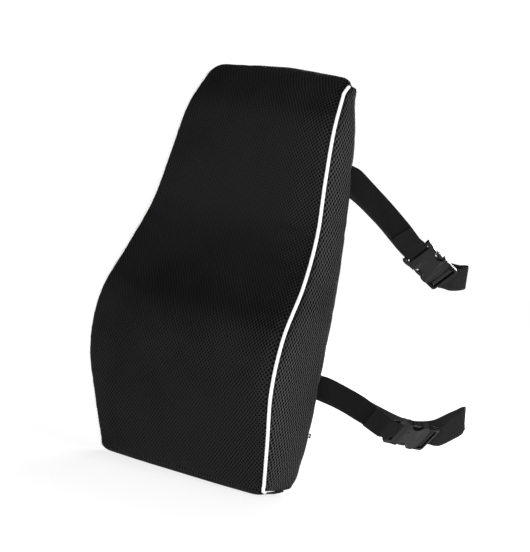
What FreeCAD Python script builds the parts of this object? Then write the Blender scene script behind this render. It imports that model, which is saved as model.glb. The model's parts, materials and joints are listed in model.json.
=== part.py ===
import FreeCAD, Part
import math
import os

from FreeCAD import Matrix, Vector

# Lumbar support cushion: a wedge of moulded foam in a zipped mesh cover, held to a chair by two
# buckled webbing loops. Millimetres, +Z up, front towards -Y. Everything is drawn with the flat back
# on the plane y = 0 and heights measured from the side seams' lowest line, and save() moves it so that
# the origin is the middle of the flat base.

# ---- cushion ----
BASE = -8.0                  # the flat base, below the side seams' lowest line
TOP = 504.0
# Half width, as (height, half width): widest at the lumbar bulge.
HALF_WIDTHS = [(-30, 117), (62, 130), (125, 135), (188, 136), (250, 131.5),
               (312, 123), (375, 115), (437, 108), (530, 93)]
BACK_ROUND_BOTTOM = 26.0
BACK_ROUND_TOP = 20.0
# Front seam, as (height, depth in front of the back), from the base up over the lumbar bulge.
FRONT_SEAM = [(BASE, 81), (62, 109), (125, 131), (188, 129), (250, 100),
              (312, 78), (375, 71), (437, 62), (489, 43)]
FRONT_STEPS = 16
BROW = Vector(0, -32.5, TOP - 3.5)    # middle of the arc between the front and the top
BASE_MIDDLE = (84.0 + BACK_ROUND_BOTTOM) / 2
COVER = 3.0                  # spacer mesh
SEAM_GAP = 0.2
LINER = 0.6
FOAM_INSET = COVER + SEAM_GAP + LINER + SEAM_GAP
PIPING_OUT = 2.2             # how far the piping stands proud of the seam
PIPING_IN = 1.8

# ---- zipper in the back panel ----
ZIP_Z = 67.0
ZIP_HALF_LENGTH = 108.0
ZIP_TAPE = 9.0               # visible width of each tape
ZIP_SLOT = 1.4               # gap between the two rows of teeth
TOOTH_PITCH = 3.0
TOOTH = Vector(1.7, 2.4, 2.6)
SLIDER_X = 100.0             # closed position
SLIDER_LENGTH = 10.0
PLATE_TOP = 1.05             # outer face of the slider's outer plate
PULL_PIN_Y = 1.85
PULL_THICK = 0.8
PULL_LENGTH = 22.0

# ---- straps ----
WEB_WIDTH = 30.0
WEB_THICK = 1.5
UPPER_Z = 387.0
LOWER_Z = 128.0
ROOT_GAP = 0.4               # clearance between the sewn ends and the back panel

# ---- side-release buckle, in its own frame: u from the socket's bar to the plug, v across, n outwards ----
BUCKLE_HALF = 20.5
SOCKET_LENGTH = 47.5
SOCKET_LOW = -5.0
SOCKET_HIGH = 5.4
SOCKET_WALL = 2.0
BAR = 3.6                    # socket's webbing bar
SLOT = 4.4                   # socket's webbing slot
CAVITY_HALF = 17.0
PLUG_LENGTH = 14.5           # part of the plug outside the socket
PLUG_LOW = -2.0
PLUG_HIGH = 4.4
RAIL = 4.0                   # plug's side rails
PLUG_SLOT_IN = (1.6, 4.6)    # plug's slots, measured from the socket's mouth
PLUG_SLOT_OUT = (7.0, 10.8)
PRONG_REACH = 28.0
PRONG_WIDTH = 3.2
PRONG_V = 11.6               # centre line of each latch arm
PRONG_HALF_HEIGHT = 2.3
LATCH = (21.6, 30.4)         # the shoulder that snaps into the socket's side window
WINDOW = (26.0, 19.0, 5.5)   # each window's centre along u and v, and its radius

# Each loop's webbing routes, as (point, width direction). The right route runs from the cushion to
# the socket, the left one from the plug back behind the cushion.
UPPER = {
    "origin": Vector(153.0, 115.0, 314.4),
    "u": Vector(0.411, 0.768, -0.492),
    "v": Vector(0.698, 0.141, 0.694),
    "right": [((107, ROOT_GAP, UPPER_Z), (0, 0, 1)),
              ((109.5, 9, 384.5), (0.05, 0, 1)),
              ((116, 29, 372.5), (0.2, 0.05, 1)),
              ((130, 60, 352), (0.45, 0.1, 0.9)),
              ((141, 87, 334), (0.6, 0.13, 0.78))],
    "left": [((184, 181, 281), (0.45, 0.1, 0.85)),
             ((187, 199, 285), (0.1, 0, 1)),
             ((178, 216, 289), (-0.1, 0, 1)),
             ((160, 222, 290), (-0.05, 0, 1)),
             ((139, 210, 294), (0.2, 0.05, 0.95)),
             ((114, 172, 316), (0.35, 0.1, 0.9)),
             ((91, 120, 352), (0.2, 0.1, 0.95)),
             ((62, 76, 380), (0, 0, 1)),
             ((20, 50, 387), (0, 0, 1)),
             ((-40, 38, 388), (0, 0, 1)),
             ((-85, 22, UPPER_Z), (0, 0, 1)),
             ((-103, 11, UPPER_Z), (0, 0, 1)),
             ((-107, ROOT_GAP, UPPER_Z), (0, 0, 1))],
}
LOWER = {
    "origin": Vector(200.3, 60.0, 93.7),
    "u": Vector(0.42, 0.905, -0.091),
    "v": Vector(0.649, -0.116, 0.754),
    "right": [((121, ROOT_GAP, LOWER_Z), (0, 0, 1)),
              ((126, 8, 126.7), (0.05, 0, 1)),
              ((141, 21, 121), (0.2, 0, 1)),
              ((162, 35, 112.5), (0.35, -0.02, 0.95)),
              ((182, 44, 102), (0.5, -0.08, 0.85))],
    "left": [((233, 131, 93), (0.45, -0.05, 0.9)),
             ((240, 142, 103), (0.2, -0.05, 1)),
             ((245, 155, 114), (0, -0.1, 1)),
             ((240, 168, 118), (-0.1, -0.1, 1)),
             ((225, 174, 108), (-0.1, 0, 1)),
             ((204, 163, 92), (0.1, 0.05, 1)),
             ((178, 136, 87), (0.1, 0.05, 1)),
             ((146, 104, 98), (0.05, 0.05, 1)),
             ((108, 77, 114), (0, 0, 1)),
             ((60, 57, 123), (0, 0, 1)),
             ((0, 45, 127), (0, 0, 1)),
             ((-70, 30, LOWER_Z), (0, 0, 1)),
             ((-107, 17, LOWER_Z), (0, 0, 1)),
             ((-118, 8, LOWER_Z), (0, 0, 1)),
             ((-121, ROOT_GAP, LOWER_Z), (0, 0, 1))],
}
STEPS_PER_SPAN = 3


def box(low, high):
    """Box between two corners."""
    size = [high[i] - low[i] for i in range(3)]
    return Part.makeBox(size[0], size[1], size[2], Vector(*low))


def save(node, shape):
    """Write one node, as a cleaned solid or group of solids."""
    if not shape.isValid():
        shape.fix(0.01, 0.01, 0.01)
    solids = [s for s in shape.Solids if s.Volume > 0.05]
    kept = solids[0] if len(solids) == 1 else Part.makeCompound(solids)
    kept = kept.translated(Vector(0, BASE_MIDDLE, -BASE))
    kept.exportStep("parts/%s.step" % node)
    print("%-26s solids %3d  volume %10.1f  valid %s" % (node, len(solids), kept.Volume, kept.isValid()))


# ---- cushion ----

def slab(grow):
    """Everything between the two curved sides, moved outwards by grow."""
    sides = []
    for sign in (1, -1):
        curve = Part.BSplineCurve()
        curve.interpolate([Vector(sign * (half + grow), 0, z) for z, half in HALF_WIDTHS])
        sides.append(curve.toShape())
    ends = [Part.makeLine(sides[0].valueAt(sides[0].ParameterRange[k]),
                          sides[1].valueAt(sides[1].ParameterRange[k])) for k in (0, 1)]
    outline = Part.Wire([sides[0], ends[1], sides[1], ends[0]])
    return Part.Face(outline).extrude(Vector(0, 2 * TOP, 0)).translated(Vector(0, -TOP, 0))


def front_points(grow):
    """Points along the S-shaped front, moved outwards by grow, from the base line up to the brow."""
    curve = Part.BSplineCurve()
    curve.interpolate([Vector(0, -depth, z) for z, depth in FRONT_SEAM])
    start = curve.FirstParameter
    span = curve.LastParameter - start
    points = []
    for i in range(FRONT_STEPS + 1):
        at = start + span * i / FRONT_STEPS
        along = curve.tangent(at)[0]
        points.append(curve.value(at) + Vector(0, -along.z, along.y) * grow)
    rise = points[1] - points[0]
    points[0] += rise * ((BASE - grow - points[0].z) / rise.z)
    return points


def side_outline(grow):
    """Closed side view moved outwards by grow: S-shaped front, rounded top, straight back, flat base."""
    points = front_points(grow)
    front = Part.BSplineCurve()
    front.interpolate(points)
    rb = BACK_ROUND_BOTTOM + grow
    rt = BACK_ROUND_TOP + grow
    low = Vector(0, -BACK_ROUND_BOTTOM, BASE + BACK_ROUND_BOTTOM)
    high = Vector(0, -BACK_ROUND_TOP, TOP - BACK_ROUND_TOP)
    k = math.sqrt(0.5)
    crown = high + Vector(0, 0, rt)
    brow = BROW + Vector(0, -0.37, 0.93) * grow
    back_top = high + Vector(0, rt, 0)
    back_bottom = low + Vector(0, rb, 0)
    heel = low + Vector(0, 0, -rb)
    edges = [
        front.toShape(),
        Part.Arc(points[-1], brow, crown).toShape(),
        Part.Arc(crown, high + Vector(0, rt * k, rt * k), back_top).toShape(),
        Part.makeLine(back_top, back_bottom),
        Part.Arc(back_bottom, low + Vector(0, rb * k, -rb * k), heel).toShape(),
        Part.makeLine(heel, points[0]),
    ]
    return Part.Wire(edges)


def profile(grow):
    """Side view moved outwards by grow, extruded across the whole width."""
    outline = Part.Face(side_outline(grow))
    return outline.extrude(Vector(TOP, 0, 0)).translated(Vector(-TOP / 2, 0, 0))


def block(inset):
    """The whole cushion, smaller by inset all round."""
    return profile(-inset).common(slab(-inset))


def piping(spare):
    """Right-hand bead along the front seam: under the base, up the front and over the top.

    spare thickens it, to cut room for it in the panels.
    """
    ring = profile(PIPING_OUT + spare).cut(profile(-PIPING_IN - spare))
    ring = ring.common(slab(0.4 + spare).cut(slab(0.4 - PIPING_OUT - PIPING_IN - spare)))
    floor = BASE - 1.0 if spare else BASE
    return ring.common(box((0, -200, floor), (200, -BACK_ROUND_BOTTOM + spare, TOP + 20)))


def mirrored(shape):
    """The same shape on the left."""
    return shape.mirror(Vector(0, 0, 0), Vector(1, 0, 0))


def cushion():
    """Foam, liner, the cover's panels and their piping."""
    save("foam_core", block(FOAM_INSET))
    save("foam_liner", block(COVER + SEAM_GAP).cut(block(FOAM_INSET - SEAM_GAP)))
    bead = piping(0)
    room = piping(0.15)
    seam = PIPING_OUT + PIPING_IN - 0.3
    shell = block(0).cut(block(COVER))
    sides = shell.cut(slab(-seam)).cut(room).cut(mirrored(room))
    wrap = profile(0).cut(profile(-COVER)).common(slab(-seam - SEAM_GAP))
    wide = 200.0
    back = box((-wide, -COVER, BASE + BACK_ROUND_BOTTOM), (wide, 1, TOP - BACK_ROUND_TOP))
    reach = ZIP_HALF_LENGTH + 4
    opening = box((-reach, -COVER - 1, ZIP_Z - ZIP_TAPE), (reach, 1, ZIP_Z + ZIP_TAPE))
    rear = wrap.common(back)
    save("cover_front_panel", wrap.cut(back))
    save("cover_back_upper", rear.common(box((-wide, -9, ZIP_Z), (wide, 1, TOP))).cut(opening))
    save("cover_back_lower", rear.common(box((-wide, -9, 0), (wide, 1, ZIP_Z))).cut(opening))
    save("cover_side_right", sides.common(box((0, -300, BASE - 9), (wide, 9, TOP + 9))))
    save("cover_side_left", sides.common(box((-wide, -300, BASE - 9), (0, 9, TOP + 9))))
    save("piping_right", bead)
    save("piping_left", mirrored(bead))


# ---- zipper ----

def tooth_row(side):
    """One row of moulded teeth, each gripping its tape's edge."""
    count = int(2 * ZIP_HALF_LENGTH / TOOTH_PITCH) - 3
    start = -ZIP_HALF_LENGTH + 1.5 * TOOTH_PITCH
    shift = TOOTH_PITCH / 2 if side > 0 else 0
    row = []
    for i in range(count):
        x = start + i * TOOTH_PITCH + shift
        near = ZIP_Z + side * ZIP_SLOT / 2
        far = near + side * TOOTH.z
        low = (x, -TOOTH.y, min(near, far))
        row.append(box(low, (x + TOOTH.x, 0, max(near, far))))
    return Part.makeCompound(row)


def zipper():
    """Two tapes with their teeth, end stops, slider and pull."""
    inner = ZIP_SLOT / 2 + TOOTH.z + 0.1
    length = ZIP_HALF_LENGTH + 3.8
    for name, side in (("upper", 1), ("lower", -1)):
        z = sorted((ZIP_Z + side * inner, ZIP_Z + side * (ZIP_TAPE - 0.1)))
        save("zip_tape_" + name, box((-length, -1.6, z[0]), (length, -0.8, z[1])))
        save("zip_teeth_" + name, tooth_row(side))
    for name, x in (("left", -ZIP_HALF_LENGTH), ("right", ZIP_HALF_LENGTH)):
        stop = box((x - 1.2, -2.4, ZIP_Z - inner + 0.1), (x + 1.2, 0, ZIP_Z + inner - 0.1))
        save("zip_stop_" + name, stop)
    save("zip_slider", slider())
    save("zip_pull", pull_tab())


def slider():
    """Two plates joined by a thin blade that runs between the rows, with a bridge for the pull."""
    half = SLIDER_LENGTH / 2
    high = ZIP_SLOT / 2 + TOOTH.z + 1.2
    blade_half = ZIP_SLOT / 2 - 0.3
    outer = box((-half, 0.25, -high), (half, PLATE_TOP, high))
    inner = box((-half, -COVER + 0.1, -high), (half, -TOOTH.y - 0.25, high))
    blade = box((half - 3, -COVER + 0.2, -blade_half), (half, PLATE_TOP - 0.1, blade_half))
    bridge = box((-3.2, PLATE_TOP - 0.1, -1.0), (3.2, PLATE_TOP + 2.5, 1.0))
    bridge = bridge.cut(box((-2.0, PLATE_TOP, -2), (2.0, PLATE_TOP + 1.7, 2)))
    body = outer.fuse([inner, blade, bridge]).removeSplitter()
    return body.translated(Vector(SLIDER_X, 0, ZIP_Z))


def pull_tab():
    """Flat tab lying along the zipper, its cross pin under the slider's bridge."""
    pin = Part.makeCylinder(0.5, 5.6, Vector(0, PULL_PIN_Y, -2.8), Vector(0, 0, 1))
    low = PULL_PIN_Y - PULL_THICK / 2
    high = PULL_PIN_Y + PULL_THICK / 2
    tab = box((-0.35, low, -2.8), (PULL_LENGTH, high, 2.8))
    tab = tab.cut(box((-1, 0, -1.4), (4.3, 5, 1.4)))
    tab = tab.cut(box((PULL_LENGTH - 6, 0, -1.2), (PULL_LENGTH - 2, 5, 1.2)))
    return tab.fuse(pin).removeSplitter().translated(Vector(SLIDER_X, 0, ZIP_Z))


# ---- webbing ----

def spline_point(points, i, s):
    """Catmull-Rom point on span i at 0 <= s <= 1."""
    last = len(points) - 1
    p0 = points[i - 1] if i > 0 else points[0] * 2 - points[1]
    p1 = points[i]
    p2 = points[i + 1]
    p3 = points[i + 2] if i + 2 <= last else points[last] * 2 - points[last - 1]
    a = p1 * 2
    b = (p2 - p0) * s
    c = (p0 * 2 - p1 * 5 + p2 * 4 - p3) * (s * s)
    d = (p1 * 3 - p0 - p2 * 3 + p3) * (s ** 3)
    return (a + b + c + d) * 0.5


def smooth(route):
    """Dense centre points and width directions along a hand-chosen route."""
    points = [Vector(*p) for p, _ in route]
    widths = [Vector(*w) for _, w in route]
    out = []
    for i in range(len(points) - 1):
        for k in range(STEPS_PER_SPAN):
            s = k / STEPS_PER_SPAN
            out.append((spline_point(points, i, s), widths[i] * (1 - s) + widths[i + 1] * s))
    out.append((points[-1], widths[-1]))
    return out


def section(point, tangent, width):
    """Webbing's rectangular section, square to the tangent."""
    t = Vector(tangent).normalize()
    w = (width - t * width.dot(t)).normalize()
    n = t.cross(w)
    a = w * (WEB_WIDTH / 2)
    b = n * (WEB_THICK / 2)
    return Part.makePolygon([point + a + b, point - a + b, point - a - b, point + a - b, point + a + b])


def band(stations):
    """Solid webbing through dense (point, width direction) stations, square to the back where it is sewn."""
    wires = []
    last = len(stations) - 1
    for i, (point, width) in enumerate(stations):
        along = stations[min(i + 1, last)][0] - stations[max(i - 1, 0)][0]
        if point.y <= ROOT_GAP:
            along = Vector(0, 1 if i == 0 else -1, 0)
        wires.append(section(point, along, width))
    return Part.makeLoft(wires, True, True)


def ribbon(path):
    """Webbing folded in the buckle's u-n plane: a thick polyline with mitred corners, across v."""
    left = []
    right = []
    half = WEB_THICK / 2
    for i, (u, n) in enumerate(path):
        normals = []
        for a, b in ((i - 1, i), (i, i + 1)):
            if a < 0 or b >= len(path):
                continue
            du = path[b][0] - path[a][0]
            dn = path[b][1] - path[a][1]
            size = math.hypot(du, dn)
            normals.append((-dn / size, du / size))
        nu = sum(q[0] for q in normals) / len(normals)
        nn = sum(q[1] for q in normals) / len(normals)
        scale = half / (nu * nu + nn * nn)
        left.append(Vector(u + nu * scale, -WEB_WIDTH / 2, n + nn * scale))
        right.append(Vector(u - nu * scale, -WEB_WIDTH / 2, n - nn * scale))
    loop = left + right[::-1]
    return Part.Face(Part.makePolygon(loop + loop[:1])).extrude(Vector(0, WEB_WIDTH, 0))


def placement(loop):
    """Matrix from the buckle's own frame (u, v, n) to the cushion's."""
    u = Vector(loop["u"]).normalize()
    v = (loop["v"] - u * loop["v"].dot(u)).normalize()
    n = u.cross(v)
    o = loop["origin"]
    return Matrix(u.x, v.x, n.x, o.x, u.y, v.y, n.y, o.y, u.z, v.z, n.z, o.z, 0, 0, 0, 1)


def place(shape, loop):
    """Carry a shape from the buckle's frame to the cushion's."""
    return shape.transformed(placement(loop), True)


def right_webbing(loop):
    """Short webbing: sewn to the cushion, folded round the socket's bar and stitched back."""
    at = placement(loop)
    lead = -12.0
    stations = smooth(loop["right"] + [(at.multVec(Vector(lead, 0, 0)), loop["v"])])
    flat = WEB_THICK + 0.35
    fold = [(lead, 0), (lead + 5, -1.0), (-1, -flat), (BAR + 1.4, -flat),
            (BAR + 1.4, flat), (-1, flat), (lead + 5, WEB_THICK * 1.1), (-28, WEB_THICK * 1.1)]
    return [band(stations), place(ribbon(fold), loop)]


def left_webbing(loop):
    """Long webbing: threaded round the plug's middle bar, its tail under the end bar."""
    at = placement(loop)
    end = SOCKET_LENGTH + PLUG_LENGTH
    low = PLUG_LOW - WEB_THICK - 1.6
    under = PLUG_LOW - WEB_THICK / 2 - 0.2
    slot_a = SOCKET_LENGTH + sum(PLUG_SLOT_IN) / 2
    slot_b = SOCKET_LENGTH + sum(PLUG_SLOT_OUT) / 2
    over = WEB_THICK / 2 + 1.9
    thread = [(end + 30, under - 0.2), (slot_b + 0.9, under), (slot_b, 0), (slot_b, over),
              (slot_a, over), (slot_a, low + 0.4), (slot_b, low), (end + 4, low)]
    start = at.multVec(Vector(end + 4, 0, low))
    stations = smooth([(start, loop["v"])] + loop["left"])
    return [place(ribbon(thread), loop), band(stations)]


# ---- buckle ----

def socket():
    """Female half: webbing bar and slot, hollow body open at the mouth, windows for the latches."""
    high = SOCKET_HIGH
    low = SOCKET_LOW
    body = box((BAR + SLOT, -BUCKLE_HALF, low), (SOCKET_LENGTH, BUCKLE_HALF, high))
    rails = box((0, -BUCKLE_HALF - 1, -2.6), (BAR + SLOT, BUCKLE_HALF + 1, 2.6))
    web = WEB_WIDTH / 2 + 0.8
    rails = rails.cut(box((BAR, -web, -9), (BAR + SLOT + 0.5, web, 9)))
    rails = rails.cut(box((-1, -web, 1.1), (BAR + 1, web, 9)))
    rails = rails.cut(box((-1, -web, -9), (BAR + 1, web, -1.1)))
    wall = SOCKET_WALL
    cavity = box((BAR + SLOT + wall, -CAVITY_HALF, low + wall), (SOCKET_LENGTH + 1, CAVITY_HALF, high - wall))
    body = body.cut(cavity)
    for side in (1, -1):
        centre = Vector(WINDOW[0], side * WINDOW[1], low - 1)
        body = body.cut(Part.makeCylinder(WINDOW[2], high - low + 2, centre))
    shell = body.fuse(rails).removeSplitter()
    edges = [e for e in shell.Edges if abs(abs(e.CenterOfMass.y) - BUCKLE_HALF - 1) < 0.01 and e.Length < 6
             and e.CenterOfMass.x < 1]
    return shell.makeFillet(2.0, edges)


def plug():
    """Male half without its latch arms: webbing frame with three bars, and the centre guide."""
    mouth = SOCKET_LENGTH + 0.3
    end = SOCKET_LENGTH + PLUG_LENGTH
    frame = box((mouth, -BUCKLE_HALF, PLUG_LOW), (end, BUCKLE_HALF, PLUG_HIGH))
    web = BUCKLE_HALF - RAIL
    for start, stop in (PLUG_SLOT_IN, PLUG_SLOT_OUT):
        frame = frame.cut(box((SOCKET_LENGTH + start, -web, -9), (SOCKET_LENGTH + stop, web, 9)))
    first = SOCKET_LENGTH + PLUG_SLOT_IN[0]
    last = SOCKET_LENGTH + PLUG_SLOT_OUT[1]
    frame = frame.cut(box((first, -web, 1.6), (last, web, 9)))
    frame = frame.cut(box((last, -web, 2.8), (end + 1, web, 9)))
    guide = box((LATCH[0], -4.0, -1.6), (mouth + 1, 4.0, 1.8))
    corners = [e for e in frame.Edges if abs(abs(e.CenterOfMass.y) - BUCKLE_HALF) < 0.01
               and e.CenterOfMass.x > end - 0.1 and abs(e.Length - (PLUG_HIGH - PLUG_LOW)) < 0.1]
    return frame.makeFillet(3.0, corners).fuse(guide).removeSplitter()


def prong(side):
    """One springy latch arm, with the shoulder that snaps into the socket's window."""
    high = PRONG_HALF_HEIGHT
    tip = SOCKET_LENGTH - PRONG_REACH
    low_v = PRONG_V - PRONG_WIDTH / 2
    start, end = LATCH
    outline = [(SOCKET_LENGTH - 0.4, low_v), (SOCKET_LENGTH - 0.4, PRONG_V + PRONG_WIDTH / 2),
               (end, PRONG_V + PRONG_WIDTH / 2), (end, BUCKLE_HALF - 2.1), (start + 4, BUCKLE_HALF - 1.5),
               (start, PRONG_V + 1.0), (tip, low_v + 0.6), (tip, low_v)]
    points = [Vector(u, side * v, -high) for u, v in outline]
    return Part.Face(Part.makePolygon(points + points[:1])).extrude(Vector(0, 0, 2 * high))


def strap(name, loop):
    """One buckled loop: both webbings and the buckle's pieces."""
    save(name + "_webbing_right", Part.makeCompound(right_webbing(loop)))
    save(name + "_webbing_left", Part.makeCompound(left_webbing(loop)))
    save(name + "_buckle_socket", place(socket(), loop))
    save(name + "_buckle_plug", place(plug(), loop))
    save(name + "_prong_top", place(prong(1), loop))
    save(name + "_prong_bottom", place(prong(-1), loop))


os.makedirs("parts", exist_ok=True)
cushion()
zipper()
strap("upper", UPPER)
strap("lower", LOWER)
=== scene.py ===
import json
import logging
import math
from dataclasses import dataclass, field
from enum import Enum
from typing import Callable, Iterable, Sequence

import bmesh
import bpy
import numpy as np
from mathutils import Matrix, Vector

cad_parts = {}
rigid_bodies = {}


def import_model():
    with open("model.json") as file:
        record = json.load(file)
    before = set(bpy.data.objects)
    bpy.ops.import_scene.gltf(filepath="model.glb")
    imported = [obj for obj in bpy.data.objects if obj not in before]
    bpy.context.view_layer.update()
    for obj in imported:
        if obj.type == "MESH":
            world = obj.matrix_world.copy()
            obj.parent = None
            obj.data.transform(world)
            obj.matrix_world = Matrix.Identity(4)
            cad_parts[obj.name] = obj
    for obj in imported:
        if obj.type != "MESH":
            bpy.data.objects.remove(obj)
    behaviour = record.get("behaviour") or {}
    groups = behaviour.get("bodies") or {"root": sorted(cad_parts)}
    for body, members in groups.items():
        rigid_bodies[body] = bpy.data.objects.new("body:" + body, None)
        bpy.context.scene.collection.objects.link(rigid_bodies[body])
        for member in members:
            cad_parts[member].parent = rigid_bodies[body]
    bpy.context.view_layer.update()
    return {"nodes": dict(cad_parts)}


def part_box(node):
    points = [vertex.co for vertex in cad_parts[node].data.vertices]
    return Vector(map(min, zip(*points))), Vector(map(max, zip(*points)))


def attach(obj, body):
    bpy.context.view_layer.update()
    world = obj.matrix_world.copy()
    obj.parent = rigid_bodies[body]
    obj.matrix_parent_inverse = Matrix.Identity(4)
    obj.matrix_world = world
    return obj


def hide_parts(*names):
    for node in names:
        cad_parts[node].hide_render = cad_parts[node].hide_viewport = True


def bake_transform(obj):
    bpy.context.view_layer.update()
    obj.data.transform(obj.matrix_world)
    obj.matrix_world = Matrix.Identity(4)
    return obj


# A lumbar support cushion: moulded foam in a zipped mesh cover with white piping, held to a chair by
# two buckled webbing loops. Metres, +Z up, front towards -Y, origin in the middle of the flat base.

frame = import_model()

MM = 0.001
UV_LAYER = "weave"           # every fabric's own map, in metres
SEAM_GAP = "seam_gap"        # how far each point of the cover is from a piped seam, in metres
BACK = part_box("cover_back_upper")[1].y
LIFT = 0.008                 # the side seams' lowest line, above the floor that the base rests on
log = logging.getLogger("cushion")


class Side(Enum):
    """Which side of the cushion a piece is on, as the sign of X."""

    RIGHT = 1
    LEFT = -1


# ---- finishes ----

class Nodes:
    """Short hand for one material's node tree."""

    def __init__(self, name: str) -> None:
        """Start a material with its shader."""
        self.material = bpy.data.materials.new(name)
        self.material.use_nodes = True
        self.tree = self.material.node_tree
        self.shader = self.tree.nodes["Principled BSDF"]

    def put(self, socket: bpy.types.NodeSocket, value: object) -> None:
        """Give an input a number or a colour, or link it to another node's output."""
        if isinstance(value, bpy.types.NodeSocket):
            self.tree.links.new(value, socket)
        else:
            socket.default_value = value

    def set(self, **inputs: object) -> None:
        """Set the shader's inputs, with underscores for the spaces in their names."""
        for key, value in inputs.items():
            self.put(self.shader.inputs[key.replace("_", " ")], value)

    def math(self, operation: str, a: object, b: object = 0.0) -> bpy.types.NodeSocket:
        """One step of arithmetic.

        Args:
            operation: Blender's name of the operation.
            a: The first number or socket.
            b: The second number or socket.

        Returns:
            The result's socket.
        """
        node = self.tree.nodes.new("ShaderNodeMath")
        node.operation = operation
        self.put(node.inputs[0], a)
        self.put(node.inputs[1], b)
        return node.outputs[0]

    def ramp(self, value: object, low: float, high: float, start: float = 0.0,
             end: float = 1.0) -> bpy.types.NodeSocket:
        """A smooth step from start to end while value goes from low to high.

        Args:
            value: The socket that drives the step.
            low: Value at which it starts.
            high: Value at which it ends.
            start: Result before the step.
            end: Result after the step.

        Returns:
            The result's socket.
        """
        node = self.tree.nodes.new("ShaderNodeMapRange")
        node.interpolation_type = "SMOOTHSTEP"
        for index, number in enumerate((value, low, high, start, end)):
            self.put(node.inputs[index], number)
        return node.outputs[0]

    def mix(self, share: object, a: object, b: object) -> bpy.types.NodeSocket:
        """A mix of two colours.

        Args:
            share: How much of the second colour.
            a: The first colour or socket.
            b: The second colour or socket.

        Returns:
            The mixed colour's socket.
        """
        node = self.tree.nodes.new("ShaderNodeMix")
        node.data_type = "RGBA"
        for index, value in ((0, share), (6, a), (7, b)):
            self.put(node.inputs[index], value)
        return node.outputs[2]

    def noise(self, scale: float, detail: float = 2.0, roughness: float = 0.5) -> bpy.types.NodeSocket:
        """Noise over the piece's own space.

        Args:
            scale: Bumps per metre.
            detail: Octaves.
            roughness: Strength of the finer octaves.

        Returns:
            The noise's socket, from 0 to 1.
        """
        place = self.tree.nodes.new("ShaderNodeTexCoord")
        node = self.tree.nodes.new("ShaderNodeTexNoise")
        self.put(node.inputs["Vector"], place.outputs["Object"])
        self.put(node.inputs["Scale"], scale)
        self.put(node.inputs["Detail"], detail)
        self.put(node.inputs["Roughness"], roughness)
        return node.outputs["Fac"]

    def cloth(self) -> tuple[bpy.types.NodeSocket, bpy.types.NodeSocket]:
        """The fabric's two directions, in metres."""
        node = self.tree.nodes.new("ShaderNodeUVMap")
        node.uv_map = UV_LAYER
        split = self.tree.nodes.new("ShaderNodeSeparateXYZ")
        self.put(split.inputs[0], node.outputs[0])
        return split.outputs[0], split.outputs[1]

    def wave(self, along: object, pitch: float) -> bpy.types.NodeSocket:
        """A cosine along one direction, once every pitch."""
        return self.math("COSINE", self.math("MULTIPLY", along, 2 * math.pi / pitch))

    def bump(self, height: object, depth: float, under: object = None) -> bpy.types.NodeSocket:
        """A relief on the surface.

        Args:
            height: The relief's socket, from 0 to 1.
            depth: Its depth, in metres.
            under: A coarser relief's normal that this one goes on, if any.

        Returns:
            The normal's socket.
        """
        node = self.tree.nodes.new("ShaderNodeBump")
        self.put(node.inputs["Strength"], 1.0)
        self.put(node.inputs["Distance"], depth)
        self.put(node.inputs["Height"], height)
        if under is not None:
            self.put(node.inputs["Normal"], under)
        return node.outputs[0]


Colour = tuple[float, float, float, float]


def grey(value: float) -> Colour:
    """A grey of that brightness."""
    return (value, value, value, 1.0)


@dataclass(frozen=True)
class SpacerMesh:
    """Knitted mesh with staggered holes: dark gaps between paler threads."""

    name: str
    thread: Colour
    gap: Colour
    pitch: tuple[float, float]       # across and along
    open_from: float                 # how large the holes are, from 1, none, to -1
    relief: float                    # depth of the holes
    sheen: float
    knot: float                      # how much paler the threads are where they cross
    valley: float = 0.013            # how far from a piped seam the cloth lies in its shade

    def material(self) -> bpy.types.Material:
        """The finish as a material."""
        g = Nodes(self.name)
        across, along = g.cloth()
        # The holes: two waves whose product is high at every other crossing, knitted a little unevenly
        wobble = g.math("MULTIPLY", g.math("SUBTRACT", g.noise(160.0, 1.0), 0.5), self.pitch[0] * 0.3)
        u = g.wave(g.math("ADD", across, wobble), self.pitch[0])
        v = g.wave(g.math("ADD", along, wobble), self.pitch[1])
        lattice = g.math("MULTIPLY", u, v)
        hole = g.ramp(lattice, self.open_from, self.open_from + 0.4)
        knot = g.ramp(lattice, -0.25, -0.9, 0.0, self.knot)
        # The threads between them
        strand = g.wave(g.math("ADD", across, g.math("MULTIPLY", along, 0.6)), self.pitch[0] / 5.0)
        knit = g.ramp(strand, -1.0, 1.0, 0.72, 1.0)
        fine = g.ramp(g.noise(900.0, 2.0), 0.25, 0.8, 0.75, 1.2)
        # Slow changes: painted shade beside the piping and where the cloth faces up, and random patches of
        # paler and darker tone
        near = g.tree.nodes.new("ShaderNodeAttribute")
        near.attribute_name = SEAM_GAP
        # Painted shade: threads near a piped seam are painted darker, down to 0.3 of their colour at the
        # seam.
        valley = g.ramp(near.outputs["Fac"], 0.0, self.valley, 0.3, 1.0)
        facing = g.tree.nodes.new("ShaderNodeSeparateXYZ")
        g.put(facing.inputs[0], g.tree.nodes.new("ShaderNodeNewGeometry").outputs["Normal"])
        # Painted shade: threads where the cloth faces up are painted darker, where it faces sideways a
        # little paler.
        painted_facing_shade = g.ramp(facing.outputs[2], 0.12, 0.46, 1.18, 0.62)
        # Random patches of tone, times both painted shades.
        patchy_tone_and_painted_shade = g.math("MULTIPLY", g.ramp(g.noise(6.5, 3.0, 0.55), 0.3, 0.7, 0.62, 1.45), valley)
        patchy_tone_and_painted_shade = g.math("MULTIPLY", patchy_tone_and_painted_shade, painted_facing_shade)
        shade = g.math("MULTIPLY", g.math("MULTIPLY", knit, patchy_tone_and_painted_shade), g.math("ADD", fine, knot))
        thread = g.mix(shade, grey(0.0), self.thread)
        g.set(Base_Color=g.mix(hole, thread, self.gap))
        g.set(Roughness=g.ramp(hole, 0.0, 1.0, 0.62, 0.95))
        g.set(Sheen_Weight=self.sheen, Sheen_Roughness=0.45, Specular_IOR_Level=0.035)
        height = g.math("SUBTRACT", g.math("MULTIPLY", knit, 0.25), g.math("MULTIPLY", hole, 1.0))
        g.set(Normal=g.bump(height, self.relief, g.bump(g.noise(45.0, 3.0), 0.0008)))
        return g.material


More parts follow.
